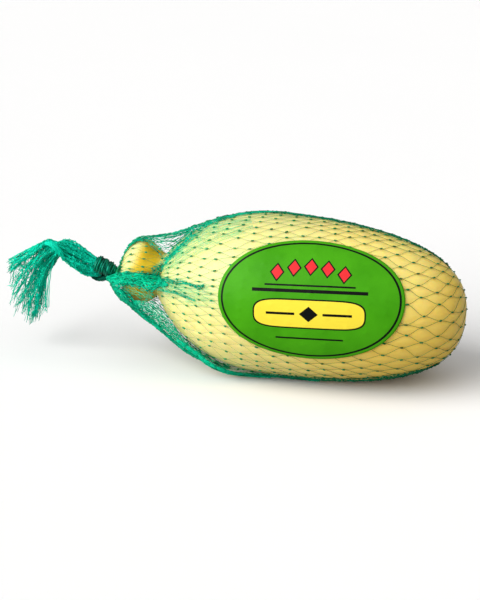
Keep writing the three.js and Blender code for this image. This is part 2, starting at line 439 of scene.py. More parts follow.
def mottle_group() -> bpy.types.NodeTree:
    """Node group of soft blotches with a fine grain in them.

    Returns:
        The group, which puts out a Mask and a finer Grain from 0 to 1.
    """
    tree = bpy.data.node_groups.get("mottle")
    if tree is not None:
        return tree
    tree = bpy.data.node_groups.new("mottle", "ShaderNodeTree")
    wires = Wires(tree)
    sockets = (("Vector", "INPUT", "Vector"), ("Blotch", "INPUT", "Float"), ("Grain", "INPUT", "Float"),
               ("Mask", "OUTPUT", "Float"), ("Grain", "OUTPUT", "Float"))
    for name, way, kind in sockets:
        tree.interface.new_socket(name, in_out=way, socket_type=f"NodeSocket{kind}")
    entry = wires.add("NodeGroupInput")
    leave = wires.add("NodeGroupOutput")
    broad, fine = (
        wires.add("ShaderNodeTexNoise", {"Vector": entry.outputs["Vector"], "Scale": entry.outputs[size],
                                         "Detail": detail}).outputs["Fac"]
        for size, detail in (("Blotch", 3.0), ("Grain", 4.0)))
    wires.feed(leave.inputs["Mask"], wires.remap(broad, 0.32, 0.68, 0.0, 1.0))
    wires.feed(leave.inputs["Grain"], fine)
    return tree


class Coat:
    """A new material with its tree, the place on the object and soft blotches with a fine grain."""

    def __init__(self, name: str, blotch: float, grain: float) -> None:
        """Start the tree.

        Args:
            name: Name of the material.
            blotch: Fineness of the blotches.
            grain: Fineness of the grain.
        """
        self.material = bpy.data.materials.new(name)
        self.material.use_nodes = True
        self.wires = Wires(self.material.node_tree)
        self.place = self.wires.add("ShaderNodeTexCoord").outputs["Object"]
        spots = self.wires.add(
            "ShaderNodeGroup", {"Vector": self.place, "Blotch": blotch, "Grain": grain},
            node_tree=mottle_group())
        self.mask, self.grain = spots.outputs["Mask"], spots.outputs["Grain"]

    def split(self, vector: Socket) -> tuple[Socket, ...]:
        """Take a vector apart into its three parts."""
        return tuple(self.wires.add("ShaderNodeSeparateXYZ", {"Vector": vector}).outputs)

    def uneven_roughness(self, smoothest: float, roughest: float) -> Socket:
        """Roughness that follows the grain."""
        return self.wires.remap(self.grain, *GRAIN_RANGE, smoothest, roughest)

    def uneven_normal(self, strength: float, distance: float) -> Socket:
        """Normal bent by the grain, with the height of the grain in metres as distance."""
        bump = {"Height": self.grain, "Strength": strength, "Distance": distance}
        return self.wires.add("ShaderNodeBump", bump).outputs["Normal"]


@dataclass(frozen=True)
class RindFinish:
    """Satin rind of the cheese: pale yellow, a little translucent, golden on the head, riper at one end,
    with painted light and shade.

    Places are in metres in the shared frame.
    """

    lemon: Colour = (0.725, 0.75, 0.315, 1.0)
    lit_low_cream: Colour = (1.0, 0.86, 0.325, 1.0)
    straw: Colour = (0.95, 0.65, 0.115, 1.0)
    lit_pale_straw: Colour = (1.0, 0.76, 0.2, 1.0)
    peach: Colour = (1.0, 0.635, 0.09, 1.0)
    amber: Colour = (0.79, 0.52, 0.003, 1.0)
    lemon_x: float = -0.045
    straw_x: float = 0.045
    peach_x: float = 0.07
    lit_low_z: Pair = (0.022, 0.046)
    straw_shade_z: Pair = (0.025, 0.06)
    head_lean: float = -0.4
    head_middle_z: float = 0.0434
    head_lit_edge: Pair = (-0.0892, -0.083)
    head_fall: Pair = (-0.0745, -0.067)
    head_underside_lit: Pair = (0.026, 0.037)
    golden_share: float = 0.97
    golden_lit_under_share: float = 0.3
    ripe_past_highlight_share: float = 0.9
    peach_share: float = 0.8
    blotch_share: float = 0.14
    roughness: Pair = (0.36, 0.5)
    gloss: float = 0.35
    glow: float = 0.45
    glow_reach: Triple = (1.0, 0.6, 0.15)
    glow_depth: float = 0.006
    bump: Pair = (0.12, 0.0004)

    def material(self) -> bpy.types.Material:
        """Build the material.

        Returns:
            The material.
        """
        coat = Coat("rind", 38.0, 700.0)
        wires = coat.wires
        x, _, z = coat.split(coat.place)
        # Lemon at the left end to straw at the right: partly the rind's own riper colour, partly a painted
        # highlight that pales the lit left end.
        ripe_past_highlight = wires.remap(x, self.lemon_x, self.straw_x, 0.0, self.ripe_past_highlight_share)
        blotched = wires.math("MULTIPLY_ADD", coat.mask, self.blotch_share, ripe_past_highlight)
        # Cream low down on the pale side: painted light that brightens and warms the lower part where the
        # lamps leave shade.
        pale = wires.mix(wires.remap(z, *self.lit_low_z, 1.0, 0.0), self.lemon, self.lit_low_cream)
        # On the riper part, darker straw low down and paler straw higher up: painted shade below and painted
        # light above.
        ripe_shaded_low = wires.mix(wires.remap(z, *self.straw_shade_z, 0.0, 1.0), self.straw, self.lit_pale_straw)
        round_end = wires.remap(x, self.straw_x, self.peach_x, 0.0, self.peach_share)
        body = wires.mix(blotched, pale, wires.mix(round_end, ripe_shaded_low, self.peach))
        wires.principled(
            Base_Color=wires.mix(self._golden(wires, x, z), body, self.amber),
            Roughness=coat.uneven_roughness(*self.roughness),
            Specular_IOR_Level=self.gloss,
            Subsurface_Weight=self.glow,
            Subsurface_Radius=self.glow_reach,
            Subsurface_Scale=self.glow_depth,
            Normal=coat.uneven_normal(*self.bump),
        )
        return coat.material

    def _golden(self, wires: Wires, x: object, z: object) -> Socket:
        """Share of the golden tint, which leans over the head, stays off its lit left facet as a painted
        highlight and fades under it as painted light.

        Args:
            wires: Tree of the material.
            x: Place along the cheese.
            z: Height above the floor.

        Returns:
            The share from 0 to 1.
        """
        above = wires.math("SUBTRACT", z, self.head_middle_z)
        leaning = wires.math("MULTIPLY_ADD", above, self.head_lean, x)
        # The tint rises only past the lit left facet, which stays pale as a painted highlight.
        golden = wires.math("MULTIPLY", wires.remap(leaning, *self.head_lit_edge, 0.0, self.golden_share),
                            wires.remap(x, *self.head_fall, 1.0, 0.0))
        # Less golden under the head: painted light on its shaded underside.
        under = wires.remap(z, *self.head_underside_lit, self.golden_lit_under_share, 1.0)
        return wires.math("MULTIPLY", golden, under)


@dataclass(frozen=True)
class FilamentFinish:
    """Glossy plastic filament, tinted from strand to strand."""

    name: str
    dark: Colour
    bright: Colour
    sheen: Colour = (0.5, 1.0, 0.75, 1.0)
    gloss: float = 0.22
    roughness: float = 0.3
    strand_share: float = 0.7
    blotch_share: float = 0.3
    bump: Pair = (0.25, 0.0001)

    def material(self) -> bpy.types.Material:
        """Build the material.

        Returns:
            The material.
        """
        coat = Coat(self.name, 160.0, 2600.0)
        wires = coat.wires
        tone = wires.add("ShaderNodeAttribute", attribute_name="tone").outputs["Fac"]
        blotches = wires.math("MULTIPLY", coat.mask, self.blotch_share)
        share = wires.math("ADD", wires.math("MULTIPLY", tone, self.strand_share), blotches)
        wires.principled(
            Base_Color=wires.mix(share, self.dark, self.bright),
            Roughness=coat.uneven_roughness(self.roughness - 0.08, self.roughness + 0.1),
            Specular_IOR_Level=self.gloss,
            Specular_Tint=self.sheen,
            Normal=coat.uneven_normal(*self.bump),
        )
        return coat.material


@dataclass(frozen=True)
class PrintField:
    """One field printed on the label, in millimetres from its middle."""

    shape: Shape
    along: float
    across: float
    half_along: float
    half_across: float
    colour: Colour


@dataclass(frozen=True)
class PrintFinish:
    """Coated paper printed in green, with a thin ring line and plain fields."""

    half_length: float
    half_width: float
    green: Colour = (0.045, 0.30, 0.002, 1.0)
    light_green: Colour = (0.06, 0.355, 0.004, 1.0)
    black: Colour = (0.002, 0.003, 0.002, 1.0)
    yellow: Colour = (0.90, 0.72, 0.05, 1.0)
    red: Colour = (0.75, 0.03, 0.035, 1.0)
    ring_inset: float = 1.9
    ring_half_line: float = 0.45
    panel_across: float = -6.4
    row_across: float = 14.6
    row_spacing: float = 7.4
    row_bow: float = 0.75
    cartouche_powers: Pair = (6.0, 3.0)
    roughness: Pair = (0.36, 0.5)
    gloss: float = 0.1
    bump: Pair = (0.15, 0.0002)

    def fields(self) -> list[PrintField]:
        """Lay out the fields of the print.

        Returns:
            The fields, from the lowest to the topmost.
        """
        panel = self.panel_across
        fields = [
            PrintField(Shape.CARTOUCHE, 0.0, panel, 25.0, 6.6, self.black),
            PrintField(Shape.CARTOUCHE, 0.0, panel, 24.3, 5.95, self.yellow),
            PrintField(Shape.DIAMOND, 0.0, panel, 4.2, 3.4, self.black),
            PrintField(Shape.RULE, -12.6, panel, 6.4, 0.55, self.black),
            PrintField(Shape.RULE, 12.6, panel, 6.4, 0.55, self.black),
            PrintField(Shape.RULE, 0.0, 3.6, 25.5, 0.75, self.black),
            PrintField(Shape.RULE, 0.0, 6.0, 20.0, 0.4, self.black),
            PrintField(Shape.RULE, 0.0, -17.6, 15.0, 0.4, self.black),
        ]
        for step in range(-2, 3):
            along, across = self.row_spacing * step, self.row_across - self.row_bow * step * step
            fields.append(PrintField(Shape.DIAMOND, along, across, 3.3, 4.3, self.black))
            fields.append(PrintField(Shape.DIAMOND, along, across, 2.5, 3.4, self.red))
        return fields

    def _on_ring(self, wires: Wires, along: object, across: object) -> Socket:
        """Mask of the thin ring line, as wide at the ends of the oval as at its sides.

        Args:
            wires: Tree of the material.
            along: Place along the label in millimetres.
            across: Place across the label in millimetres.

        Returns:
            1 on the line and 0 off it.
        """
        halves = (self.half_length - self.ring_inset, self.half_width - self.ring_inset)
        shares = [wires.math("DIVIDE", place, half) for place, half in zip((along, across), halves)]
        slopes = [wires.math("DIVIDE", share, half) for share, half in zip(shares, halves)]
        squares = [[wires.math("MULTIPLY", part, part) for part in pair] for pair in (shares, slopes)]
        reach, slope = (wires.math("SQRT", wires.math("ADD", *pair)) for pair in squares)
        off_ring = wires.math("ABSOLUTE", wires.math("SUBTRACT", reach, 1.0))
        return wires.math("LESS_THAN", off_ring, wires.math("MULTIPLY", slope, self.ring_half_line))

    def _inside(self, wires: Wires, along: object, across: object, spot: PrintField) -> Socket:
        """Mask of one field.

        Args:
            wires: Tree of the material.
            along: Place along the label in millimetres.
            across: Place across the label in millimetres.
            spot: The field.

        Returns:
            1 inside the field and 0 outside.
        """
        terms = []
        sides = ((along, spot.along, spot.half_along), (across, spot.across, spot.half_across))
        for place, middle, half in sides:
            offset = wires.math("ABSOLUTE", wires.math("SUBTRACT", place, middle))
            terms.append(wires.math("DIVIDE", offset, half))
        if spot.shape is Shape.DIAMOND:
            reach = wires.math("ADD", *terms)
        elif spot.shape is Shape.CARTOUCHE:
            powers = zip(terms, self.cartouche_powers)
            reach = wires.math("ADD", *(wires.math("POWER", term, power) for term, power in powers))
        else:
            reach = wires.math("MAXIMUM", *terms)
        return wires.math("LESS_THAN", reach, 1.0)

    def material(self) -> bpy.types.Material:
        """Build the material on the label's own flat map.

        Returns:
            The material.
        """
        coat = Coat("label_print", 55.0, 1500.0)
        wires = coat.wires
        u, v, _ = coat.split(wires.add("ShaderNodeUVMap", uv_map="flat").outputs["UV"])
        along = wires.math("MULTIPLY_ADD", u, 2.0 * self.half_length, -self.half_length)
        across = wires.math("MULTIPLY_ADD", v, 2.0 * self.half_width, -self.half_width)
        colour = wires.mix(coat.mask, self.green, self.light_green)
        colour = wires.mix(self._on_ring(wires, along, across), colour, self.black)
        for spot in self.fields():
            colour = wires.mix(self._inside(wires, along, across, spot), colour, spot.colour)
        wires.principled(
            Base_Color=colour,
            Roughness=coat.uneven_roughness(*self.roughness),
            Specular_IOR_Level=self.gloss,
            Normal=coat.uneven_normal(*self.bump),
        )
        return coat.material


@dataclass(frozen=True)
class FloorFinish:
    """Pale matt floor that throws little light back up."""

    pale: Colour = (0.955, 0.95, 0.945, 1.0)
    cool: Colour = (0.96, 0.955, 0.95, 1.0)
    thrown: Colour = (0.45, 0.45, 0.43, 1.0)
    roughness: float = 0.9
    gloss: float = 0.1

    def material(self) -> bpy.types.Material:
        """Build the material.

        Returns:
            The material.
        """
        coat = Coat("pale_floor", 6.0, 200.0)
        wires = coat.wires
        seen = wires.mix(coat.mask, self.pale, self.cool)
        direct = wires.add("ShaderNodeLightPath").outputs["Is Camera Ray"]
        colour = wires.mix(direct, self.thrown, seen)
        wires.principled(Base_Color=colour, Roughness=self.roughness, Specular_IOR_Level=self.gloss)
        return coat.material


@dataclass
class CheeseForm:
    """Form of the cheese and of the net drawn over it, in millimetres about the axis of the cheese.

    Along the axis 0 is the widest section and the round end is on the plus side. An angle of 0 points up and
    a quarter turn points to the front.
    """

    belly_radius: float = 37.5
    round_end: Triple = (84.4, 2.28, 2.67)
    shoulder: Triple = (59.0, 2.48, 1.394)
    head_place: Pair = (-66.5, 3.4)
    head_half: Triple = (11.2, 12.5, 15.6)
    neck: Triple = (-79.9, -1.6, 3.3)
    neck_slant: float = 3.0
    pitch_deg: float = 2.75
    flattening: float = 0.7
    meridians: int = 192
    stations: int = 240
    meridians_evened: int = 5
    sag_above: float = 2.1
    crest_above: Triple = (1.85, -40.5, 9.4)
    crest_fade_deg: Pair = (30.0, 75.0)
    slack_below: float = 4.2
    slack_span: Pair = (5.0, 30.0)
    bag_below: Triple = (4.2, -29.0, 20.3)
    bag_rise_deg: Pair = (105.0, 150.0)
    bag_clearance: float = 0.5
    valley_share: float = 0.75
    valley_rise_x: Pair = (-72.0, -62.0)
    valley_front_deg: Quad = (14.0, 38.0, 74.0, 92.0)
    valley_back_deg: Quad = (14.0, 50.0, 90.0, 130.0)
    valley_back_share: float = 0.6
    puff_height: float = 6.1
    puff_reach: Pair = (2.5, 28.6)
    slant_drop: Quad = (0.0, 2.5, 3.5, 11.0)
    slant_reach: float = 9.0
    table: Array = field(init=False, repr=False)
    shift: Array = field(init=False, repr=False)

    def __post_init__(self) -> None:
        """Work out the lying place and the net's radii."""
        along = np.arange(-self.shoulder[0], self.round_end[0], 0.1)
        pitch = math.radians(self.pitch_deg)
        radius = self.body_radius(along)
        fall = -along * math.sin(pitch) - radius * math.cos(pitch)
        low = int(np.argmin(fall))
        low_x = along[low] * math.cos(pitch) - radius[low] * math.sin(pitch)
        self.shift = np.array([-low_x, 0.0, -fall[low] - self.flattening])
        self.table = self._net_table()

    def body_radius(self, along: Array) -> Array:
        """Outer radius of the body.

        Args:
            along: Places along the axis.

        Returns:
            One radius for each place.
        """
        along = np.asarray(along, dtype=float)
        radius = np.zeros_like(along)
        for (length, power, root), side in ((self.shoulder, along < 0), (self.round_end, along >= 0)):
            share = np.clip(np.abs(along) / length, 0.0, 1.0)
            radius = np.where(side, self.belly_radius * (1.0 - share**power) ** (1.0 / root), radius)
        return radius

    def head_radius(self, along: Array, angle: Array) -> Array:
        """Distance from the axis to the far side of the head.

        Args:
            along: Places along the axis.
            angle: Angles about the axis.

        Returns:
            One distance for each place, 0 where there is no head.
        """
        half_length, half_depth, half_height = self.head_half
        sine = np.sin(angle) / half_depth
        cosine = np.cos(angle) / half_height
        rise = self.head_place[1] / half_height
        square = sine**2 + cosine**2
        linear = cosine * rise
        rest = ((along - self.head_place[0]) / half_length) ** 2 + rise**2 - 1.0
        root = linear**2 - square * rest
        reach = (linear + np.sqrt(np.maximum(root, 0.0))) / square
        return np.where(root < 0.0, 0.0, np.maximum(reach, 0.0))

    def station_x(self, station: Array) -> Array:
        """Place along the axis of a station, closer together towards the round end."""
        share = np.sin(np.asarray(station) / self.stations * np.pi / 2.0)
        return self.neck[0] + (self.round_end[0] - self.neck[0]) * share

    def _looseness(self, along: Array, angle: float) -> Array:
        """Looseness of the net beyond a taut string: a crest above, a bag below and a puff at the neck.

        Args:
            along: Places along the axis.
            angle: Angle about the axis.

        Returns:
            One lift for each place.
        """
        from_top = abs((math.degrees(angle) + 180.0) % 360.0 - 180.0)
        crest, bag = (height * np.exp(-(((along - middle) / reach) ** 2))
                      for height, middle, reach in (self.crest_above, self.bag_below))
        loose = crest * (1.0 - smoothstep(*self.crest_fade_deg, from_top))
        loose = loose + bag * smoothstep(*self.bag_rise_deg, from_top)
        from_neck = along - self.neck[0]
        puff = self.puff_height * smoothstep(0.0, self.puff_reach[0], from_neck)
        puff = puff * (1.0 - smoothstep(*self.puff_reach, from_neck))
        return loose + puff * ((1.0 - math.cos(angle)) / 2.0) ** 2

    def _ground_radius(self, along: Array, angle: float) -> Array:
        """Radii at which the net would come down to its clearance above the ground.

        Args:
            along: Places along the axis.
            angle: Angle about the axis.

        Returns:
            One radius for each place.
        """
        pitch = math.radians(self.pitch_deg)
        down = max(-math.cos(angle) * math.cos(pitch), 1e-3)
        return (self.shift[2] - along * math.sin(pitch) - self.bag_clearance) / down

    def _net_meridian(self, angle: float) -> Array:
        """Radii of a string laid from the neck over the head and shoulder at one angle.

        Args:
            angle: Angle of the string about the axis.

        Returns:
            One radius for each station.
        """
        along = self.station_x(np.arange(self.stations + 1))
        bare = np.maximum(self.body_radius(along), self.head_radius(along, angle))
        _, neck_rise, neck_radius = self.neck
        start = neck_rise * math.cos(angle)
        start = start + math.sqrt(neck_radius**2 - (neck_rise * math.sin(angle)) ** 2)
        corners = self._upper_hull(along, np.array([start, *bare[1:]]))
        edge = np.clip(np.searchsorted(corners[:, 0], along, side="right") - 1, 0, len(corners) - 2)
        span = corners[edge + 1, 0] - corners[edge, 0]
        share = (along - corners[edge, 0]) / span
        upward = (1.0 + math.cos(angle)) / 2.0
        slack = self.slack_below * (1.0 - upward) - self.sag_above * upward
        taut = np.interp(along, corners[:, 0], corners[:, 1])
        bulge = 4.0 * share * (1.0 - share) * smoothstep(*self.slack_span, span) * slack
        taut = np.maximum(taut + bulge, bare)
        loose = np.minimum(taut + self._looseness(along, angle), self._ground_radius(along, angle))
        taut = np.maximum(loose, bare)
        degrees = math.degrees(angle) % 360.0
        front = float(plateau(self.valley_front_deg, degrees))
        back = float(plateau(self.valley_back_deg, 360.0 - degrees))
        sides = max(front, self.valley_back_share * back)
        dip = self.valley_share * sides * smoothstep(*self.valley_rise_x, along)
        return taut - dip * (taut - bare)

    @staticmethod
    def _upper_hull(along: Array, radius: Array) -> Array:
        """Corners of a string drawn tight over places along the axis.

        Args:
            along: Places along the axis, in order.
            radius: Radius at each place.

        Returns:
            Places and radii where the string touches, one row each.
        """
        hull: list[Pair] = []
        for x, r in zip(along.tolist(), radius.tolist()):
            while len(hull) > 1:
                (x0, r0), (x1, r1) = hull[-2:]
                if (x1 - x0) * (r - r0) - (r1 - r0) * (x - x0) < 0.0:
                    break
                hull.pop()
            hull.append((x, r))
        return np.array(hull)

    def _net_table(self) -> Array:
        """Work out the net's outer radii, evened out round the axis.

        Returns:
            One radius for each meridian and station.
        """
        angles = np.arange(self.meridians) * 2.0 * np.pi / self.meridians
        taut = np.array([self._net_meridian(float(angle)) for angle in angles])
        reach = self.meridians_evened
        weights = {step: 1.0 - abs(step) / reach for step in range(1 - reach, reach)}
        total = sum(weights.values())
        return sum(weight * np.roll(taut, step, axis=0) for step, weight in weights.items()) / total

    def net_radius(self, along: Array, angle: Array) -> Array:
        """Outer radius of the net at places on it.

        Args:
            along: Places along the axis.
            angle: Angles about the axis.

        Returns:
            One radius for each place.
        """
        start = self.neck[0]
        share = np.clip((along - start) / (self.round_end[0] - start), 0.0, 1.0)
        place = np.arcsin(share) / (np.pi / 2.0) * self.stations
        station = np.minimum(place.astype(int), self.stations - 1)
        ahead = place - station
        turn = np.mod(angle, 2.0 * np.pi) / (2.0 * np.pi) * self.meridians
        first = np.floor(turn).astype(int) % self.meridians
        second = (first + 1) % self.meridians
        round_share = turn - np.floor(turn)
        here, there = (self.table[first, at] * (1.0 - round_share) + self.table[second, at] * round_share
                       for at in (station, station + 1))
        return here * (1.0 - ahead) + there * ahead

    def surface(self, along: Array, angle: Array, lift: Array | float) -> Array:
        """Points of the net about the axis, drawn in slantwise to the neck.

        Args:
            along: Places along the axis.
            angle: Angles about the axis.
            lift: Lift from the net's outer radius.

        Returns:
            Points in millimetres.
        """
        radius = self.net_radius(along, angle) + lift
        drop = -radius * np.cos(angle)
        drawn = plateau(self.slant_drop, drop)
        drawn = drawn * (1.0 - smoothstep(0.0, self.slant_reach, along - self.neck[0]))
        return np.stack([along - self.neck_slant * drawn, -radius * np.sin(angle), -drop], axis=-1)

    def to_frame(self, points: Array) -> Array:
        """Take points about the axis in millimetres to the shared frame in metres.

        Args:
            points: Points on the last axis.

        Returns:
            Points in the same order.
        """
        pitch = math.radians(self.pitch_deg)
        x = points[..., 0] * math.cos(pitch) + points[..., 2] * math.sin(pitch)
        z = points[..., 2] * math.cos(pitch) - points[..., 0] * math.sin(pitch)
        return (np.stack([x, points[..., 1], z], axis=-1) + self.shift) * MM

    def place(self) -> Matrix:
        """Matrix that takes a mesh in metres about the axis to the shared frame."""
        turned = Matrix.Rotation(math.radians(self.pitch_deg), 4, "Y")
        return Matrix.Translation(Vector(self.shift * MM)) @ turned


def spline(corners: Array, share: Array) -> Array:
    """Points on a smooth curve through corners that are evenly spaced in share.

    Args:
        corners: Corners of the curve on the first axis.
        share: Places on the curve from 0 to 1.

    Returns:
        Points, with the axes of share first and the other axes of corners after them.
    """
    place = np.clip(share, 0.0, 1.0) * (len(corners) - 1)
    first = np.minimum(place.astype(int), len(corners) - 2)
    t = (place - first).reshape(place.shape + (1,) * (corners.ndim - 1))
    before = corners[np.maximum(first - 1, 0)]
    start, end = corners[first], corners[first + 1]
    after = corners[np.minimum(first + 2, len(corners) - 1)]
    leave, arrive = (end - before) / 2.0, (after - start) / 2.0
    near = (2 * t**3 - 3 * t**2 + 1) * start + (t**3 - 2 * t**2 + t) * leave
    return near + (3 * t**2 - 2 * t**3) * end + (t**3 - t**2) * arrive


@dataclass(frozen=True)
class Bundle:
    """A loose bundle of filaments along a curve, in millimetres about the axis of the cheese."""

    course: tuple[Triple, ...]
    half_size: tuple[Pair, ...]
    count: int
    crimp: float = 0.25
    twist: float = 0.8
    crimps: Pair = (12.0, 26.0)

    def strands(self, form: CheeseForm, steps: int, noise: Draw) -> Array:
        """Courses of the filaments in the shared frame.

        Args:
            form: Form that gives the lying place.
            steps: Points on a filament.
            noise: Seeded draw for the places of the filaments.

        Returns:
            Points, shaped filament, point, 3.
        """
        share = np.linspace(0.0, 1.0, steps)
        middle = spline(np.array(self.course), share)
        size = spline(np.array(self.half_size), share)
        ahead = unit(np.gradient(middle, axis=0))
        beside = np.cross(ahead, BACKWARD)
        each = (self.count, 1)
        turn = noise.uniform(0.0, 2.0 * np.pi, each) + noise.normal(0.0, self.twist, each) * share
        reach = np.sqrt(noise.uniform(0.05, 1.0, each))
        wave = np.sin(share * noise.uniform(*self.crimps, each) + noise.uniform(0.0, 6.3, each))
        wave = self.crimp * wave
        flat = reach * np.cos(turn) * size[:, 0] + wave
        deep = reach * np.sin(turn) * size[:, 1] + np.roll(wave, 1, axis=0)
        points = middle + flat[..., None] * beside + deep[..., None] * BACKWARD
        return form.to_frame(points)


@dataclass
class Gather:
    """A fold that the columns of the net are drawn into, from the neck to a place along the axis."""

    angle_deg: float
    width_deg: float
    pull: float
    full_x: float
    end_x: float


@dataclass
class NetLayout:
    """Places of the meshes on the cheese: rings counted from the neck, columns as turns about the axis."""

    form: CheeseForm
    meshes_around: int = 54
    row_at_shoulder: float = 7.4
    row_at_round_end: float = 5.6
    front_deg: float = 78.0
    open_front: Pair = (0.42, 0.08)
    closing_radius: float = 3.6
    closing_drift_deg: float = 50.0
    mean_turns: tuple[float, ...] = (0.8, 2.4, 3.9, 5.5)
    row_change_x: Pair = (-20.0, 40.0)
    opening_x: Pair = (-30.0, 45.0)
    unevenness: Pair = (0.06, 0.105)
    strand_bow: float = 0.85
    ground_gap: float = 0.65
    gathers: tuple[Gather, ...] = (
        Gather(76.0, 22.0, 0.45, -50.0, 10.0),
        Gather(84.0, 26.0, 0.6, -66.0, -50.0),
        Gather(160.0, 30.0, 0.45, -66.0, -10.0),
        Gather(262.0, 34.0, 0.4, -66.0, -20.0),
        Gather(0.0, 28.0, 0.4, -45.0, -5.0),
    )
    seed: int = 11
    ring_x_table: Array = field(init=False, repr=False)
    rings: int = field(init=False)
    jitter: Array = field(init=False, repr=False)

    def __post_init__(self) -> None:
        """Walk the mean meridian and set the rings on it."""
        along = self.form.station_x(np.linspace(0.0, self.form.stations, 4001))
        radii = [self.form.net_radius(along, np.full_like(along, turn)) for turn in self.mean_turns]
        radius = sum(radii) / len(radii)
        walked = np.concatenate([[0.0], np.cumsum(np.hypot(np.diff(along), np.diff(radius)))])
        blend = smoothstep(*self.row_change_x, along)
        row = self.row_at_shoulder * (1.0 - blend) + self.row_at_round_end * blend
        counted = np.concatenate([[0.0], np.cumsum(np.diff(walked) / row[1:])])
        closed = (along > 0.0) & (radius < self.closing_radius)
        self.rings = int(counted[np.argmax(closed)]) + 1
        self.ring_x_table = np.stack([counted, along])
        noise = np.random.default_rng(self.seed)
        drawn = noise.normal(0.0, 1.0, (self.rings + 1, self.meshes_around, 2))
        self.jitter = drawn * np.array(self.unevenness)

    def angle(self, along: Array, turn: Array) -> Array:
        """Angle of a column where it passes a place along the axis.

        Args:
            along: Places along the axis.
            turn: Turns of the columns.

        Returns:
            Angles about the axis.
        """
        front = math.radians(self.front_deg)
        opened = smoothstep(*self.opening_x, along)
        once, twice = self.open_front
        angle = turn + opened * (once * np.sin(turn - front) + twice * np.sin(2.0 * (turn - front)))
        for gather in self.gathers:
            middle = math.radians(gather.angle_deg)
            off = signed_turn(angle - middle)
            held = gather.pull * (1.0 - smoothstep(gather.full_x, gather.end_x, along))
            angle = angle - held * off * np.exp(-0.5 * (off / math.radians(gather.width_deg)) ** 2)
        return angle

    def drift(self, along: Array, angle: Array) -> tuple[Array, Array]:
        """Move places on the round end, so that the net closes at the back of it.

        Args:
            along: Places along the axis.
            angle: Angles about the axis.

        Returns:
            The moved places and angles.
        """
        length = self.form.round_end[0]
        latitude = np.arcsin(np.clip(along / length, 0.0, 1.0))
        turned = math.radians(self.closing_drift_deg) * smoothstep(0.0, np.pi / 2.0, latitude)
        x, y, z = np.sin(latitude), -np.cos(latitude) * np.sin(angle), np.cos(latitude) * np.cos(angle)
        new_x = x * np.cos(turned) - y * np.sin(turned)
        new_y = x * np.sin(turned) + y * np.cos(turned)
        new_along = new_x * np.where(new_x < 0.0, self.form.shoulder[0], length)
        moved = along > 0.0
        return np.where(moved, new_along, along), np.where(moved, np.arctan2(-new_y, z), angle)

    def points(self, ring: Array, turn: Array, lift: Array | float) -> Array:
        """Points of the net in the shared frame.

        Args:
            ring: Rings counted from the neck, with parts between rings.
            turn: Turns of the columns.
            lift: Lift from the net's outer radius in millimetres.

        Returns:
            Points in metres, kept just above the ground.
        """
        along = np.interp(ring, *self.ring_x_table)
        along, angle = self.drift(along, self.angle(along, turn))
        points = self.form.to_frame(self.form.surface(along, angle, lift))
        points[..., 2] = np.maximum(points[..., 2], self.ground_gap * MM)
        return points

    def knots(self) -> tuple[Array, Array]:
        """Places of all knots, each second ring half a mesh further round.

        Returns:
            Rings and turns, each shaped ring, column.
        """
        rings = np.arange(self.rings + 1)[:, None]
        column = np.arange(self.meshes_around)[None, :] + 0.5 * (rings % 2)
        step = 2.0 * np.pi / self.meshes_around
        return rings + self.jitter[..., 0], (column + self.jitter[..., 1]) * step

    def strands(self, steps: int) -> tuple[Array, Array, Array]:
        """Course of every strand from knot to knot.

        Args:
            steps: Points on a strand.

        Returns:
            Rings, turns and shares along the strand, each shaped strand, point.
        """
        ring, turn = self.knots()
        share = np.linspace(0.0, 1.0, steps)
        eased = share + self.strand_bow * (smoothstep(0.0, 1.0, share) - share)
        rings, turns = [], []
        for row, shift in mesh_links(self.rings):
            end_ring, end_turn = np.roll(ring[row + 1], -shift), np.roll(turn[row + 1], -shift)
            gap = signed_turn(end_turn - turn[row])
            rings.append(ring[row][:, None] * (1.0 - share) + end_ring[:, None] * share)
            turns.append(turn[row][:, None] + gap[:, None] * eased)
        ring_rows = np.concatenate(rings)
        return ring_rows, np.concatenate(turns), np.broadcast_to(share, ring_rows.shape)


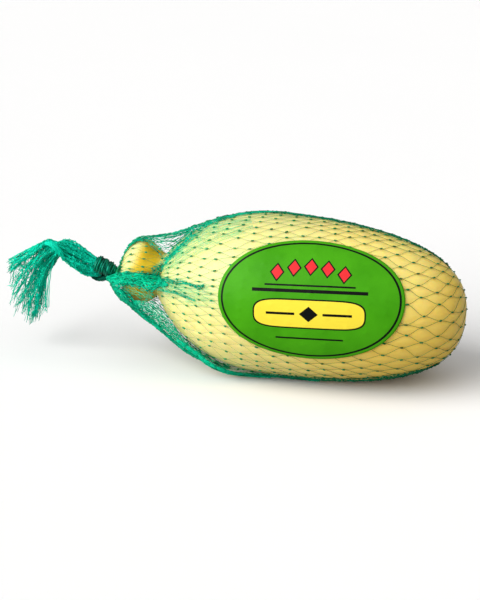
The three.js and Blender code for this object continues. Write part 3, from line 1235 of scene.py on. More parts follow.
@dataclass
class Net:
    """Net over the cheese: strands from knot to knot, and the knots."""

    layout: NetLayout
    finish: FilamentFinish
    strand_radius: Triple = (0.055, 0.045, 0.085)
    strand_steps: int = 7
    strand_sides: int = 4
    knot_half: Triple = (0.78, 0.5, 0.4)
    strand_lift: float = -0.22
    knot_lift: float = -0.05
    lift_at_knot: float = 0.12
    thicker_x: Pair = (-0.05, 0.05)
    neck_x: Pair = (-0.078, -0.06)
    shoulder_bright_x: Pair = (-0.06, 0.02)
    shoulder_bright_share: float = 0.65
    seed: int = 5

    def strand_points(self) -> Array:
        """Middle lines of the strands.

        Returns:
            Points in the shared frame, shaped strand, point, 3.
        """
        ring, turn, share = self.layout.strands(self.strand_steps)
        near_knot = np.abs(2.0 * share - 1.0) ** 4
        return self.layout.points(ring, turn, self.strand_lift + self.lift_at_knot * near_knot)

    def knot_points(self) -> Array:
        """Middles of the knots in the shared frame, one row each."""
        return self.layout.points(*self.layout.knots(), self.knot_lift).reshape(-1, 3)

    def build(self) -> None:
        """Build and dress the strands and the knots."""
        material = self.finish.material()
        noise = np.random.default_rng(self.seed)
        paths = self.strand_points()
        outward = spokes(self.layout.form, paths)
        neck, near, far = self.strand_radius
        radii = near + (far - near) * smoothstep(*self.thicker_x, paths[..., 0])
        radii = (radii + (neck - near) * (1.0 - smoothstep(*self.neck_x, paths[..., 0]))) * MM
        tone = self.tone(paths.mean(axis=1), noise)
        strands = tube_piece("net_strands", paths, radii, outward, self.strand_sides, tone)
        settle(strands, Solid.NETTED_CHEESE, material)
        knots = self.build_knots(noise)
        settle(knots, Solid.NETTED_CHEESE, material)

    def tone(self, points: Array, noise: Draw) -> Array:
        """Tints of strands or knots at points in metres, brighter towards the shoulder end."""
        toward_shoulder = 1.0 - smoothstep(*self.shoulder_bright_x, points[:, 0])
        return self.shoulder_bright_share * toward_shoulder + (1.0 - self.shoulder_bright_share) * noise.random(len(points))

    def build_knots(self, noise: Draw) -> Piece:
        """Copy one knot to every crossing of the net, turned along the net.

        Args:
            noise: Seeded draw for the unevenness of the knots.

        Returns:
            The joined knots.
        """
        ring, turn = self.layout.knots()
        middle = self.knot_points()
        ahead, behind = (self.layout.points(ring + part, turn, self.knot_lift).reshape(-1, 3)
                         for part in (0.15, -0.15))
        above = self.layout.points(ring, turn, self.knot_lift + 1.0).reshape(-1, 3)
        along = unit(ahead - behind)
        beside = unit(np.cross(unit(above - middle), along))
        up = np.cross(along, beside)
        tone = self.tone(middle, noise)
        frames = (middle, along, beside, up)
        return knot_copies("net_knots", KnotShape(self.knot_half), frames, tone, noise)


@dataclass(frozen=True)
class Pleat:
    """A strip of net gathered into a fold that lies over the net along a curve on it.

    The course holds places along the axis in millimetres with angles about it in degrees.
    """

    course: tuple[Pair, ...]
    half_width: tuple[float, ...]
    columns: int
    rows: int
    layers: int
    rise: float = 0.3
    strand_radius: float = 0.12
    tone: float = 0.5
    base: float = -0.2
    knotted: bool = True
    crumple: float = 1.0
    thinning: float = 0.0
    row_spread: float = 0.16
    column_spread: float = 0.4
    lift_spread: float = 1.6
    ground_gap: float = 0.5
    past_neck: float = 1.5

    def points(self, form: CheeseForm, share: Array, side: Array, lift: Array | float) -> Array:
        """Points of the fold in the shared frame.

        Args:
            form: Form that the net follows.
            share: Places along the fold from 0 to 1.
            side: Places across the fold from -1 to 1.
            lift: Lift from the net's outer radius in millimetres.

        Returns:
            Points in metres.
        """
        course = np.array(self.course) * np.array([1.0, math.pi / 180.0])
        place = spline(course, share)
        ahead, behind = np.minimum(share + 0.01, 1.0), np.maximum(share - 0.01, 0.0)
        run = spline(course, ahead) - spline(course, behind)
        radius = np.maximum(form.net_radius(place[..., 0], place[..., 1]), 1.0)
        run_x, run_round = run[..., 0], run[..., 1] * radius
        half = spline(np.array(self.half_width)[:, None], share)[..., 0]
        offset = side * half / np.hypot(run_x, run_round)
        along = np.maximum(place[..., 0] - run_round * offset, form.neck[0] - self.past_neck)
        angle = place[..., 1] + run_x * offset / radius
        points = form.to_frame(form.surface(along, angle, lift))
        points[..., 2] = np.maximum(points[..., 2], self.ground_gap * MM)
        return points

    def strands(self, form: CheeseForm, steps: int, noise: Draw) -> tuple[Array, Array]:
        """Courses of the strands and places of the knots in the fold.

        Args:
            form: Form that the net follows.
            steps: Points on a strand.
            noise: Seeded draw for the crumpling.

        Returns:
            Strands in the shared frame, shaped strand, point, 3, and knots, one row each.
        """
        courses, knots = [], []
        t = np.linspace(0.0, 1.0, steps)
        eased = smoothstep(0.0, 1.0, t)
        step = 2.0 / self.columns
        for layer in range(self.layers):
            rows = np.arange(self.rows + 1)[:, None]
            uneven = noise.normal(0.0, self.row_spread * self.crumple, (self.rows + 1, self.columns))
            share = np.clip((rows + uneven) / self.rows, 0.0, 1.0)
            column = np.arange(self.columns)[None, :] + 0.25 + 0.5 * (rows % 2)
            column = column + noise.normal(0.0, self.column_spread * self.crumple, share.shape)
            side = np.clip(-1.0 + column * step, -1.0, 1.0)
            lift = (layer + noise.uniform(0.0, self.lift_spread, share.shape)) * self.rise + self.base
            for row, shift in mesh_links(self.rows):
                other = np.clip(np.arange(self.columns) + shift, 0, self.columns - 1)
                moved = []
                for values, ease in ((share, t), (side, eased), (lift, t)):
                    start, end = values[row][:, None], values[row + 1][other][:, None]
                    moved.append(start + (end - start) * ease)
                outer = np.maximum(np.abs(side[row]), abs(2.0 * row / self.rows - 1.0))
                kept = noise.random(self.columns) >= self.thinning * outer**2
                courses.append(self.points(form, *(values[kept] for values in moved)))
            if self.knotted and layer == self.layers - 1:
                knots.append(self.points(form, share, side, lift).reshape(-1, 3))
        return np.concatenate(courses), np.concatenate(knots or [np.zeros((0, 3))])


TO_CREST = ((-58.5, 70.0), (-58.5, 60.0), (-57.0, 46.0), (-53.5, 36.5), (-50.0, 31.5), (-46.0, 27.0))
NECK_FOLDS = (
    # Core of the fold that crosses the front below the head, tinted dark as painted shade inside the fold.
    Pleat(((-81.0, 122.0), (-78.5, 100.0), (-74.5, 86.0), (-69.0, 79.0), (-63.5, 77.5), (-58.0, 78.0),
           (-54.0, 78.5), (-50.0, 78.0)),
          (1.0, 1.9, 3.0, 3.2, 3.1, 2.9, 1.5, 0.5), 6, 16, 5, 0.16, 0.15, 0.25),
    # Crest of the same fold, tinted bright as painted light on its top.
    Pleat(((-81.0, 119.0), (-78.5, 99.0), (-74.5, 85.5), (-69.0, 79.0), (-63.5, 77.0), (-58.5, 77.5),
           (-54.0, 77.5)),
          (1.0, 2.0, 3.1, 3.3, 3.1, 2.7, 1.2), 4, 9, 3, 0.2, 0.17, 1.0, 0.6, True, 0.9),
    # Thin veil past its end.
    Pleat(((-60.0, 78.5), (-54.0, 78.5), (-48.0, 78.5), (-41.0, 78.5)),
          (2.6, 3.6, 3.6, 2.8), 9, 7, 1, 0.15, 0.052, 1.0, -0.2, False, 1.0, 0.7),
    # Thin net below the fold.
    Pleat(((-76.0, 105.0), (-71.0, 100.0), (-66.0, 97.0), (-61.0, 96.0), (-57.0, 97.0)),
          (1.4, 2.8, 3.4, 3.0, 1.4), 7, 9, 1, 0.15, 0.07, 1.0, -0.2, False, 0.8, 0.3),
    # Two cords of drawn net that run on from the fold.
    Pleat(((-58.5, 74.0), (-52.0, 72.0), (-46.0, 72.5), (-40.0, 71.5), (-34.0, 72.5), (-29.5, 71.5)),
          (1.6, 1.0, 0.7, 0.6, 0.6, 1.0), 3, 10, 2, 0.2, 0.1, 0.45, -0.2, True, 1.3),
    Pleat(((-56.5, 83.0), (-50.0, 84.5), (-44.0, 83.5), (-39.0, 83.5), (-33.0, 85.0)),
          (1.5, 0.9, 0.7, 0.6, 0.5), 3, 8, 2, 0.15, 0.08, 0.5, -0.2, False, 1.3),
    # Veil and cord that rise from the fold to the crest of the net.
    Pleat((*TO_CREST, (-42.5, 21.0), (-39.0, 13.0), (-35.0, 5.0)),
          (1.9, 1.8, 1.8, 2.0, 2.4, 2.8, 3.0, 2.6, 1.4), 7, 14, 1, 0.15, 0.052, 1.0),
    Pleat((*TO_CREST, (-42.0, 20.0)),
          (0.8, 0.8, 0.7, 0.6, 0.6, 0.7, 0.4), 2, 12, 2, 0.15, 0.065, 0.95),
    # Haze of the finest strands round the cords and below the crest.
    Pleat(((-58.0, 78.0), (-50.0, 79.0), (-42.0, 79.0), (-33.0, 79.0), (-23.0, 78.0)),
          (2.6, 4.0, 5.5, 6.0, 5.0), 20, 10, 1, 0.1, 0.04, 1.0, -0.2, False, 1.0, 0.9),
    Pleat(((-58.0, 52.0), (-52.0, 42.0), (-45.0, 35.0), (-37.0, 29.0), (-27.0, 22.0), (-14.0, 14.0)),
          (2.5, 5.5, 8.0, 9.5, 9.0, 6.0), 30, 14, 1, 0.1, 0.037, 1.0, -0.2, False, 1.0, 0.95),
    # Dark layers above the head.
    Pleat(((-77.0, 20.0), (-71.0, 10.0), (-64.0, 8.0), (-57.0, 16.0), (-50.0, 18.0), (-43.0, 10.0)),
          (0.5, 1.0, 2.6, 5.6, 6.0, 3.4), 7, 10, 2, 0.2, 0.1, 0.12, -0.2, True, 0.6),
    # Fringe along the top edge.
    Pleat(((-80.0, 14.0), (-74.0, 1.0), (-68.0, -5.0), (-60.0, -7.0), (-52.0, -2.0), (-43.0, 4.0),
           (-34.0, 3.0), (-24.0, -4.0), (-10.0, -10.0), (10.0, -15.0)),
          (0.4, 0.4, 0.5, 0.8, 1.4, 2.6, 3.4, 3.2, 1.8, 0.3), 5, 28, 2, 0.15, 0.09, 0.3),
)
BAG_FOLDS = (
    # Band that hangs from the neck to the floor: its net, its crest tinted lighter as painted light, and its
    # core tinted dark as painted shade.
    Pleat(((-81.0, 136.0), (-78.0, 130.0), (-74.0, 128.0), (-69.0, 135.0), (-63.5, 140.0), (-58.5, 142.5),
           (-53.5, 146.0), (-46.5, 149.0), (-38.0, 151.0), (-28.5, 152.0), (-17.0, 155.0), (0.0, 158.0),
           (22.0, 160.0)),
          (1.0, 3.2, 4.4, 5.2, 5.2, 4.8, 4.0, 2.8, 1.6, 1.2, 1.0, 0.8, 0.5),
          7, 38, 3, 0.2, 0.115, 0.2, -0.2, True, 1.5),
    Pleat(((-81.0, 134.0), (-78.0, 128.0), (-74.0, 126.0), (-69.0, 134.0), (-63.5, 140.0), (-58.5, 144.0),
           (-53.5, 148.0), (-46.5, 151.0), (-38.0, 152.0), (-28.5, 152.0), (-17.0, 155.0), (0.0, 158.0)),
          (1.0, 3.2, 4.2, 5.0, 4.9, 4.6, 3.6, 2.5, 1.6, 0.9, 0.5, 0.3),
          4, 26, 2, 0.25, 0.14, 0.6, 0.4, True, 1.7),
    Pleat(((-81.0, 135.0), (-78.0, 129.0), (-74.0, 127.0), (-69.0, 134.0), (-63.5, 140.0), (-58.0, 144.0)),
          (0.8, 2.9, 4.0, 4.6, 3.6, 1.2), 5, 11, 2, 0.2, 0.14, 0.1, 0.6, False, 1.2),
    # Thin net above the band, and a veil near the floor tinted brightest as painted light where the cheese's
    # shadow falls.
    Pleat(((-68.0, 124.0), (-62.0, 119.0), (-57.0, 115.0), (-52.0, 121.0), (-46.0, 130.0), (-38.0, 138.0),
           (-28.5, 143.0), (-19.0, 147.0), (-8.0, 152.0)),
          (1.2, 2.6, 4.8, 5.8, 5.0, 3.4, 2.4, 1.8, 0.8), 8, 20, 2, 0.2, 0.056, 0.75, -0.2, True, 0.45),
    Pleat(((-44.0, 135.0), (-35.0, 140.0), (-25.0, 145.0), (-12.0, 150.0)),
          (2.2, 2.6, 2.4, 1.2), 9, 10, 1, 0.2, 0.075, 1.0, 0.3, False, 0.6),
    # Slack net behind the band, tinted dark as painted shade.
    Pleat(((-77.0, 205.0), (-70.0, 206.0), (-62.0, 197.0), (-54.0, 186.0), (-46.0, 178.0), (-36.0, 174.0),
           (-22.0, 171.0)),
          (1.5, 4.0, 5.0, 5.5, 5.0, 4.0, 2.0), 8, 18, 2, 0.2, 0.09, 0.1, -0.2, False, 0.6),
)
EDGE_FOLDS = (
    # Top edge, which runs on to where the net closes at the back.
    Pleat(((-34.0, -9.0), (-12.0, -12.0), (10.0, -13.0), (32.0, -13.0), (50.0, -15.0), (63.0, -21.0),
           (71.0, -33.0), (71.5, -50.0), (66.0, -68.0), (57.0, -85.0)),
          (2.0, 4.2, 4.6, 4.6, 4.2, 3.6, 2.8, 1.9, 1.2, 0.5),
          8, 38, 1, 0.3, 0.1, 0.5, -0.2, True, 1.0, 0.8),
    # Lower edge on the front.
    Pleat(((-10.0, 152.0), (10.0, 151.0), (32.0, 150.0), (52.0, 149.0), (66.0, 150.0), (75.0, 155.0)),
          (3.0, 5.0, 5.2, 4.8, 3.4, 1.0), 7, 26, 1, 0.15, 0.085, 0.7),
    # Two folds on the back.
    Pleat(((-80.0, 236.0), (-70.0, 232.0), (-58.0, 228.0), (-44.0, 224.0), (-28.0, 220.0), (-12.0, 214.0)),
          (1.5, 4.0, 6.0, 6.0, 5.0, 2.0), 8, 20, 2, 0.2, 0.1, 0.6),
    Pleat(((-81.0, 280.0), (-70.0, 276.0), (-58.0, 274.0), (-44.0, 272.0), (-28.0, 270.0)),
          (1.4, 3.0, 3.2, 2.4, 0.7), 4, 14, 3, 0.2, 0.11, 0.9),
)


@dataclass
class NetFolds:
    """Folds of slack net of one kind."""

    form: CheeseForm
    finish: FilamentFinish
    name: str
    pleats: tuple[Pleat, ...]
    seed: int
    strand_steps: int = 5
    strand_sides: int = 3
    tone_spread: float = 0.32
    knot_half: Triple = (0.6, 0.34, 0.3)
    knot_tone: Pair = (0.0, 0.4)

    def build(self) -> None:
        """Build and dress the strands and knots of the folds."""
        noise = np.random.default_rng(self.seed)
        material = self.finish.material()
        made = [pleat.strands(self.form, self.strand_steps, noise) for pleat in self.pleats]
        paths = np.concatenate([strands for strands, _ in made])
        middle = np.concatenate([knots for _, knots in made])
        counts = [len(strands) for strands, _ in made]
        radii = np.repeat([pleat.strand_radius for pleat in self.pleats], counts)[:, None] * MM
        shade = np.repeat([pleat.tone for pleat in self.pleats], counts)
        tone = np.clip(noise.normal(shade, self.tone_spread), 0.0, 1.0)
        outward = spokes(self.form, paths)
        strands = tube_piece(f"{self.name}_strands", paths, radii, outward, self.strand_sides, tone)
        settle(strands, Solid.NETTED_CHEESE, material)
        up = unit(spokes(self.form, middle))
        along = unit(np.cross(np.cross(up, AHEAD), up))
        places = (middle, along, np.cross(up, along), up)
        tints = noise.uniform(*self.knot_tone, len(middle))
        knots = knot_copies(f"{self.name}_knots", KnotShape(self.knot_half), places, tints, noise)
        settle(knots, Solid.NETTED_CHEESE, material)


def spokes(form: CheeseForm, points: Array) -> Array:
    """Directions from the axis of the cheese out to points.

    Args:
        form: Form that gives the axis.
        points: Points in the shared frame.

    Returns:
        One direction for each point, as long as its distance from the axis.
    """
    ahead = form.to_frame(AHEAD) - form.to_frame(np.zeros(3))
    ahead = ahead / np.linalg.norm(ahead)
    out = points - form.to_frame(np.zeros(3))
    return out - np.sum(out * ahead, axis=-1, keepdims=True) * ahead


@dataclass
class KnotShape:
    """One knot of the net: a tight double loop, longer along the net than across it."""

    half: Triple
    waist: float = 0.22
    waist_reach: float = 0.22
    slant: float = 0.2
    sizes: Pair = (0.85, 1.15)

    def model(self) -> tuple[Array, list[Array]]:
        """Model the knot once at the origin.

        Returns:
            Its vertex places in metres and its faces.
        """
        bpy.ops.mesh.primitive_uv_sphere_add(segments=6, ring_count=6, radius=MM,
                                             rotation=(0.0, math.pi / 2.0, 0.0))
        knot = added_piece("knot")
        with edit_mode():
            bpy.ops.transform.resize(value=self.half, center_override=(0.0, 0.0, 0.0))
        points = read_points(knot)
        waist = 1.0 - self.waist * np.exp(-((points[:, 0] / (self.waist_reach * MM)) ** 2))
        points[:, 1:] *= waist[:, None]
        faces = [list(face.vertices) for face in knot.data.polygons]
        bpy.data.meshes.remove(knot.data)
        return points, [np.array([face for face in faces if len(face) == size]) for size in (3, 4)]


def knot_copies(
    name: str, shape: KnotShape, frames: tuple[Array, ...], tone: Array, noise: Draw
) -> Piece:
    """Copy one knot to many places as one mesh.

    Args:
        name: Name of the piece.
        shape: The knot.
        frames: Places of the copies in metres, and their directions along, across and out of the net.
        tone: Tints of the copies from 0 to 1.
        noise: Seeded draw for size and slant.

    Returns:
        The joined copies.
    """
    middle, along, beside, up = frames
    points, faces = shape.model()
    count = len(middle)
    slant = noise.normal(0.0, shape.slant, count)[:, None]
    turned_along = along * np.cos(slant) + beside * np.sin(slant)
    turned_beside = beside * np.cos(slant) - along * np.sin(slant)
    size = noise.uniform(*shape.sizes, (count, 3))
    local = points[None, :, :] * size[:, None, :]
    placed = middle[:, None, :] + local[..., 0:1] * turned_along[:, None, :]
    placed = placed + local[..., 1:2] * turned_beside[:, None, :] + local[..., 2:3] * up[:, None, :]
    offset = np.arange(count)[:, None, None] * len(points)
    copied = [(group[None] + offset).reshape(-1, group.shape[1]) for group in faces]
    return mesh_piece(name, placed.reshape(-1, 3), copied, np.repeat(tone, len(points)))


@dataclass
class Cheese:
    """The bare cheese: an egg-shaped body and a knob-like head, pressed a little by the net."""

    form: CheeseForm
    finish: RindFinish
    net_inset: float = 0.3
    fullness: float = 3.0
    columns: int = 96
    voxel: float = 0.75
    head_middle: Pair = (-67.0, 3.0)
    head_depth: float = 12.2
    head_outline: tuple[float, ...] = (9.2, 12.8, 12.0, 15.2, 13.4, 11.6, 11.3, 12.0, 16.2, 16.6, 13.8, 11.8)
    groove_depth: float = 0.3
    groove_reach: float = 1.3
    rings_each_way: int = 45
    least_radius: float = 0.8
    smoothing: tuple[float, int] = (0.5, 22)
    held_to_x: float = 10.0
    least_held: float = 0.5
    flat_height: float = 0.1

    def profile(self) -> Array:
        """Outline of the body from the shoulder to the round end.

        Returns:
            Places along the axis and radii in metres, one row each.
        """
        share = np.linspace(0.0, 1.0, self.rings_each_way)
        left = -self.form.shoulder[0] * np.cos(share * np.pi / 2.0) ** 1.2
        right = self.form.round_end[0] * np.sin(share * np.pi / 2.0)
        along = np.concatenate([left[:-1], right])
        radius = self.form.body_radius(along) - self.net_inset
        swelled = np.where(along < 0.0, along * (1.0 + self.fullness / self.form.shoulder[0]), along)
        keep = radius > self.least_radius
        return np.stack([swelled[keep], radius[keep]], axis=1) * MM

    def build(self, strand_points: Array) -> None:
        """Model, press and dress the cheese.

        Args:
            strand_points: Points of the net's strands in the shared frame.
        """
        body = self._turn_body()
        head = self._round_head()
        apply_modifier(body, "BOOLEAN", object=head, operation="UNION", solver="EXACT")
        bpy.data.objects.remove(head)
        apply_modifier(body, "REMESH", mode="VOXEL", voxel_size=self.voxel * MM)
        factor, passes = self.smoothing
        apply_modifier(body, "SMOOTH", factor=factor, iterations=passes)
        self._hold(body)
        apply_place(body, self.form.place())
        self._press(body, strand_points)
        self._flatten(body)
        body.data.shade_smooth()
        settle(body, Solid.NETTED_CHEESE, self.finish.material())

    def _turn_body(self) -> Piece:
        """Extrude the body ring by ring along the axis.

        Returns:
            The body about the axis.
        """
        profile = self.profile()
        before_x, before_radius = profile[0]
        bpy.ops.mesh.primitive_circle_add(vertices=self.columns, radius=before_radius, fill_type="NGON",
                                          location=(before_x, 0.0, 0.0), rotation=(0.0, math.pi / 2.0, 0.0))
        body = added_piece("cheese")
        with edit_mode():
            for x, radius in profile[1:]:
                bpy.ops.mesh.extrude_region_move(TRANSFORM_OT_translate={"value": (x - before_x, 0.0, 0.0)})
                grow = radius / before_radius
                bpy.ops.transform.resize(value=(1.0, grow, grow), center_override=(x, 0.0, 0.0))
                before_x, before_radius = x, radius
            turn_faces_out()
        return body

    def _round_head(self) -> Piece:
        """Shape a ball into the head, a slanted knob with an outline of its own seen from the front.

        Returns:
            The head about the axis.
        """
        bpy.ops.mesh.primitive_uv_sphere_add(segments=self.columns, ring_count=64, radius=1.0,
                                             rotation=(math.pi / 2.0, 0.0, 0.0))
        head = added_piece("head")
        ball = read_points(head)
        turn = np.mod(np.arctan2(ball[:, 2], ball[:, 0]) / (2.0 * np.pi), 1.0)
        outline = self.head_outline
        closed = np.array(outline[-2:] + outline + outline[:3])[:, None]
        count = len(outline)
        reach = spline(closed, (turn * count + 2.0) / (count + 4.0))[:, 0]
        x, z = self.head_middle
        places = [x + ball[:, 0] * reach, ball[:, 1] * self.head_depth, z + ball[:, 2] * reach]
        write_points(head, np.stack(places, axis=1) * MM)
        return head

    def _hold(self, body: Piece) -> None:
        """Keep the shoulder and head inside the net.

        Args:
            body: Mesh of the cheese about the axis.
        """
        points = read_points(body)
        along, radius = points[:, 0] / MM, np.hypot(points[:, 1], points[:, 2]) / MM
        limit = self.form.net_radius(along, np.arctan2(-points[:, 1], points[:, 2])) - self.net_inset
        inward = np.maximum(limit, self.least_held) / np.maximum(radius, self.least_held)
        held = np.where(along < self.held_to_x, np.minimum(1.0, inward), 1.0)
        points[:, 1:] *= held[:, None]
        write_points(body, points)

    def _press(self, body: Piece, strand_points: Array) -> None:
        """Press the strands into the cheese.

        Args:
            body: Mesh of the cheese in the shared frame.
            strand_points: Points of the net's strands.
        """
        points = read_points(body)
        distance = nearest_distance(strand_points.reshape(-1, 3), points) / MM
        depth = self.groove_depth * np.exp(-((distance / self.groove_reach) ** 2))
        write_points(body, points - vertex_normals(body) * depth[:, None] * MM)

    def _flatten(self, body: Piece) -> None:
        """Cut the flat spot that the cheese rests on.

        Args:
            body: Mesh of the cheese in the shared frame.
        """
        make_active(body)
        with edit_mode():
            bpy.ops.mesh.bisect(plane_co=(0.0, 0.0, self.flat_height * MM), plane_no=(0.0, 0.0, 1.0),
                                use_fill=True, clear_inner=True)


@dataclass
class Label:
    """Oval paper label that lies over the net on the front."""

    form: CheeseForm
    middle_x: float = 19.5
    middle_angle_deg: float = 70.6
    tilt_deg: float = 5.1
    half_length: float = 41.3
    half_width: float = 28.4
    thickness: float = 0.16
    lift: float = 0.36
    knot_rise: float = 0.14
    knot_reach: float = 1.15
    columns: int = 240
    rings: int = 60

    def build(self, knot_points: Array) -> None:
        """Model, wrap and dress the label.

        Args:
            knot_points: Middles of the net's knots in the shared frame.
        """
        label = self._flat_oval()
        self._map_flat(label)
        self._wrap(label, knot_points)
        apply_modifier(label, "SOLIDIFY", thickness=self.thickness * MM, offset=1.0)
        label.data.shade_smooth()
        finish = PrintFinish(self.half_length, self.half_width)
        settle(label, Solid.LABEL, finish.material())

    def _flat_oval(self) -> Piece:
        """Fill an oval with rings of faces from its rim to its middle.

        Returns:
            The flat label about the origin.
        """
        bpy.ops.mesh.primitive_circle_add(vertices=self.columns, radius=MM, fill_type="NOTHING")
        label = added_piece("label_paper")
        middle = (0.0, 0.0, 0.0)
        with edit_mode():
            bpy.ops.transform.resize(value=(self.half_length, self.half_width, 1.0), center_override=middle)
            for ring in range(self.rings, 1, -1):
                shrink = (ring - 1) / ring
                bpy.ops.mesh.extrude_edges_move()
                bpy.ops.transform.resize(value=(shrink, shrink, 1.0), center_override=middle)
            bpy.ops.mesh.extrude_edges_move()
            bpy.ops.mesh.merge(type="CENTER")
            turn_faces_out()
        return label

    def _map_flat(self, label: Piece) -> None:
        """Keep the flat places of the label as its own map.

        Args:
            label: Flat label about the origin.
        """
        halves = np.array([self.half_length, self.half_width])
        flat = read_points(label)[:, :2] / MM / halves * 0.5 + 0.5
        corners = np.empty(len(label.data.loops), dtype=np.int32)
        label.data.loops.foreach_get("vertex_index", corners)
        label.data.uv_layers.new(name="flat").data.foreach_set("uv", flat[corners].ravel())

    def _wrap(self, label: Piece, knot_points: Array) -> None:
        """Lay the flat label over the net, raised a little by the knots under it.

        Args:
            label: Flat label about the origin.
            knot_points: Middles of the net's knots in the shared frame.
        """
        flat = read_points(label) / MM
        tilt = math.radians(self.tilt_deg)
        along = self.middle_x + flat[:, 0] * math.cos(tilt) - flat[:, 1] * math.sin(tilt)
        up = flat[:, 0] * math.sin(tilt) + flat[:, 1] * math.cos(tilt)
        angle = math.radians(self.middle_angle_deg) - up / self.form.body_radius(along)
        smooth_place = self.form.to_frame(self.form.surface(along, angle, self.lift))
        distance = nearest_distance(knot_points, smooth_place) / MM
        raised = self.lift + self.knot_rise * np.exp(-((distance / self.knot_reach) ** 2))
        write_points(label, self.form.to_frame(self.form.surface(along, angle, raised)))
        self._face_out(label)

    def _face_out(self, label: Piece) -> None:
        """Turn the faces to the outside of the cheese."""
        if float(np.sum(spokes(self.form, read_points(label)) * vertex_normals(label))) < 0.0:
            label.data.flip_normals()


@dataclass
class Tie:
    """Filament wound round the neck of the net."""

    form: CheeseForm
    finish: FilamentFinish
    start: Triple = (-80.9, -0.6, -0.2)
    end: Triple = (-91.0, -1.0, 3.4)
    start_radius: float = 2.0
    end_radius: float = 3.6
    swell: float = 0.3
    cord_radius: float = 0.62
    turns: float = 9.0
    steps_per_turn: int = 30
    wound_radius: float = 10.0
    waves: tuple[Triple, ...] = ((0.25, 23.0, 1.0), (0.18, 51.0, 0.0))
    core_share: float = 0.9
    strand_radius: float = 0.14
    strand_steps: int = 16
    strand_sides: int = 5
    outward: Triple = (0.0, -1.0, -0.3)
    seed: int = 3
    loop: Bundle = Bundle(
        ((-98.0, 0.6, -0.2), (-95.5, 0.8, -1.4), (-92.8, 1.0, -2.8), (-90.0, 1.4, -3.0)),
        ((2.0, 2.6), (1.9, 2.6), (1.9, 2.4), (1.0, 2.0)), 80)
    pinch: Bundle = Bundle(
        ((-93.5, 1.2, -2.8), (-91.5, 1.2, -4.2), (-89.2, 1.2, -4.5), (-86.0, 1.2, -3.9), (-83.0, 1.0, -3.2)),
        ((1.0, 2.0), (1.7, 2.4), (1.8, 2.3), (1.6, 2.2), (1.5, 2.2)), 90)

    def build(self, net_finish: FilamentFinish) -> None:
        """Build the winding, its core, and the loop and the fold of net pinched out under it.

        Args:
            net_finish: Finish of the loop, which is part of the net's tail.
        """
        noise = np.random.default_rng(self.seed)
        self.wind()
        self.core()
        # The loop and the pinched fold lie in the tie's shadow: their tints are held low as painted shade,
        # and the pinched net takes the dark tie finish as painted shade too.
        for name, bundle, finish, light in (("tie_loop", self.loop, net_finish, 0.5),
                                            ("tie_pinch", self.pinch, self.finish, 0.2)):
            paths = bundle.strands(self.form, self.strand_steps, noise)
            tone = light * noise.random(len(paths))
            outward = np.array(self.outward)
            piece = tube_piece(name, paths, self.strand_radius * MM, outward, self.strand_sides, tone)
            settle(piece, Solid.TIE, finish.material())

    def core(self) -> None:
        """Build and dress the gathered net inside the winding, in the darkest tie tint as painted shade
        between the turns.
        """
        share = np.linspace(0.03, 0.97, 14)[None, :, None]
        start, end = np.array(self.start), np.array(self.end)
        path = self.form.to_frame(start + (end - start) * share)
        radii = self._cone(share[..., 0]) * self.core_share * MM
        core = tube_piece("tie_core", path, radii, np.array(self.outward), 16, np.zeros(1))
        settle(core, Solid.TIE, self.finish.material())

    def _cone(self, share: Array) -> Array:
        """Radii of the winding at shares of its length, swelling away from the cheese."""
        return self.start_radius + (self.end_radius - self.start_radius) * share**self.swell

    def wind(self) -> None:
        """Wind, taper and dress the filament."""
        axis = Vector(self.end) - Vector(self.start)
        bpy.ops.mesh.primitive_circle_add(
            vertices=10, radius=self.cord_radius * MM, fill_type="NOTHING",
            location=(self.wound_radius * MM, 0.0, 0.0), rotation=(math.pi / 2.0, 0.0, 0.0))
        tie = added_piece("tie_windings")
        steps = int(self.turns * self.steps_per_turn)
        apply_modifier(tie, "SCREW", angle=self.turns * 2.0 * math.pi, screw_offset=axis.length * MM,
                       steps=steps, render_steps=steps, axis="Z", use_merge_vertices=False)
        with edit_mode():
            bpy.ops.mesh.fill_holes(sides=0)
            turn_faces_out()
        self._taper(tie, axis.length)
        turned = axis.normalized().to_track_quat("Z", "Y").to_matrix().to_4x4()
        apply_place(tie, self.form.place() @ Matrix.Translation(Vector(self.start) * MM) @ turned)
        tie.data.attributes.new("tone", "FLOAT", "POINT").data.foreach_set("value", self._tone(tie))
        tie.data.shade_smooth()
        settle(tie, Solid.TIE, self.finish.material())

    def _taper(self, tie: Piece, length: float) -> None:
        """Draw the straight winding in to an uneven cone that is rounded off at both ends.

        Args:
            tie: Winding about the vertical axis.
            length: Length of the winding in millimetres.
        """
        points = read_points(tie) / MM
        radius = np.hypot(points[:, 0], points[:, 1])
        share = np.clip(points[:, 2] / length, 0.0, 1.0)
        barrel = self._cone(share) * np.sqrt(np.maximum(1.0 - np.abs(2.0 * share - 1.0) ** 8, 0.25))
        for height, pace, phase in self.waves:
            barrel = barrel + height * np.sin(pace * share + phase)
        drawn_in = (radius - self.wound_radius + barrel) / radius
        points[:, :2] *= drawn_in[:, None]
        write_points(tie, points * MM)

    def _tone(self, tie: Piece) -> Array:
        """Tint of the winding: painted highlights and painted shade in bands across the turns, and painted
        shade towards the cheese.

        Args:
            tie: Winding in the shared frame.

        Returns:
            One tint from 0 to 1 for each vertex.
        """
        points = read_points(tie)
        # Painted light on the far end, fading to painted shade towards the cheese.
        away = 1.0 - smoothstep(-0.104, -0.095, points[:, 0])
        # Bands of painted highlight and painted shade, standing in for glints on the turns and dark gaps
        # between them.
        highlight_band = 0.5 + 0.5 * np.sin(points[:, 0] / MM * 2.3 + points[:, 2] / MM * 0.9)
        return (0.2 * away + 0.8 * highlight_band**3).astype(np.float32)


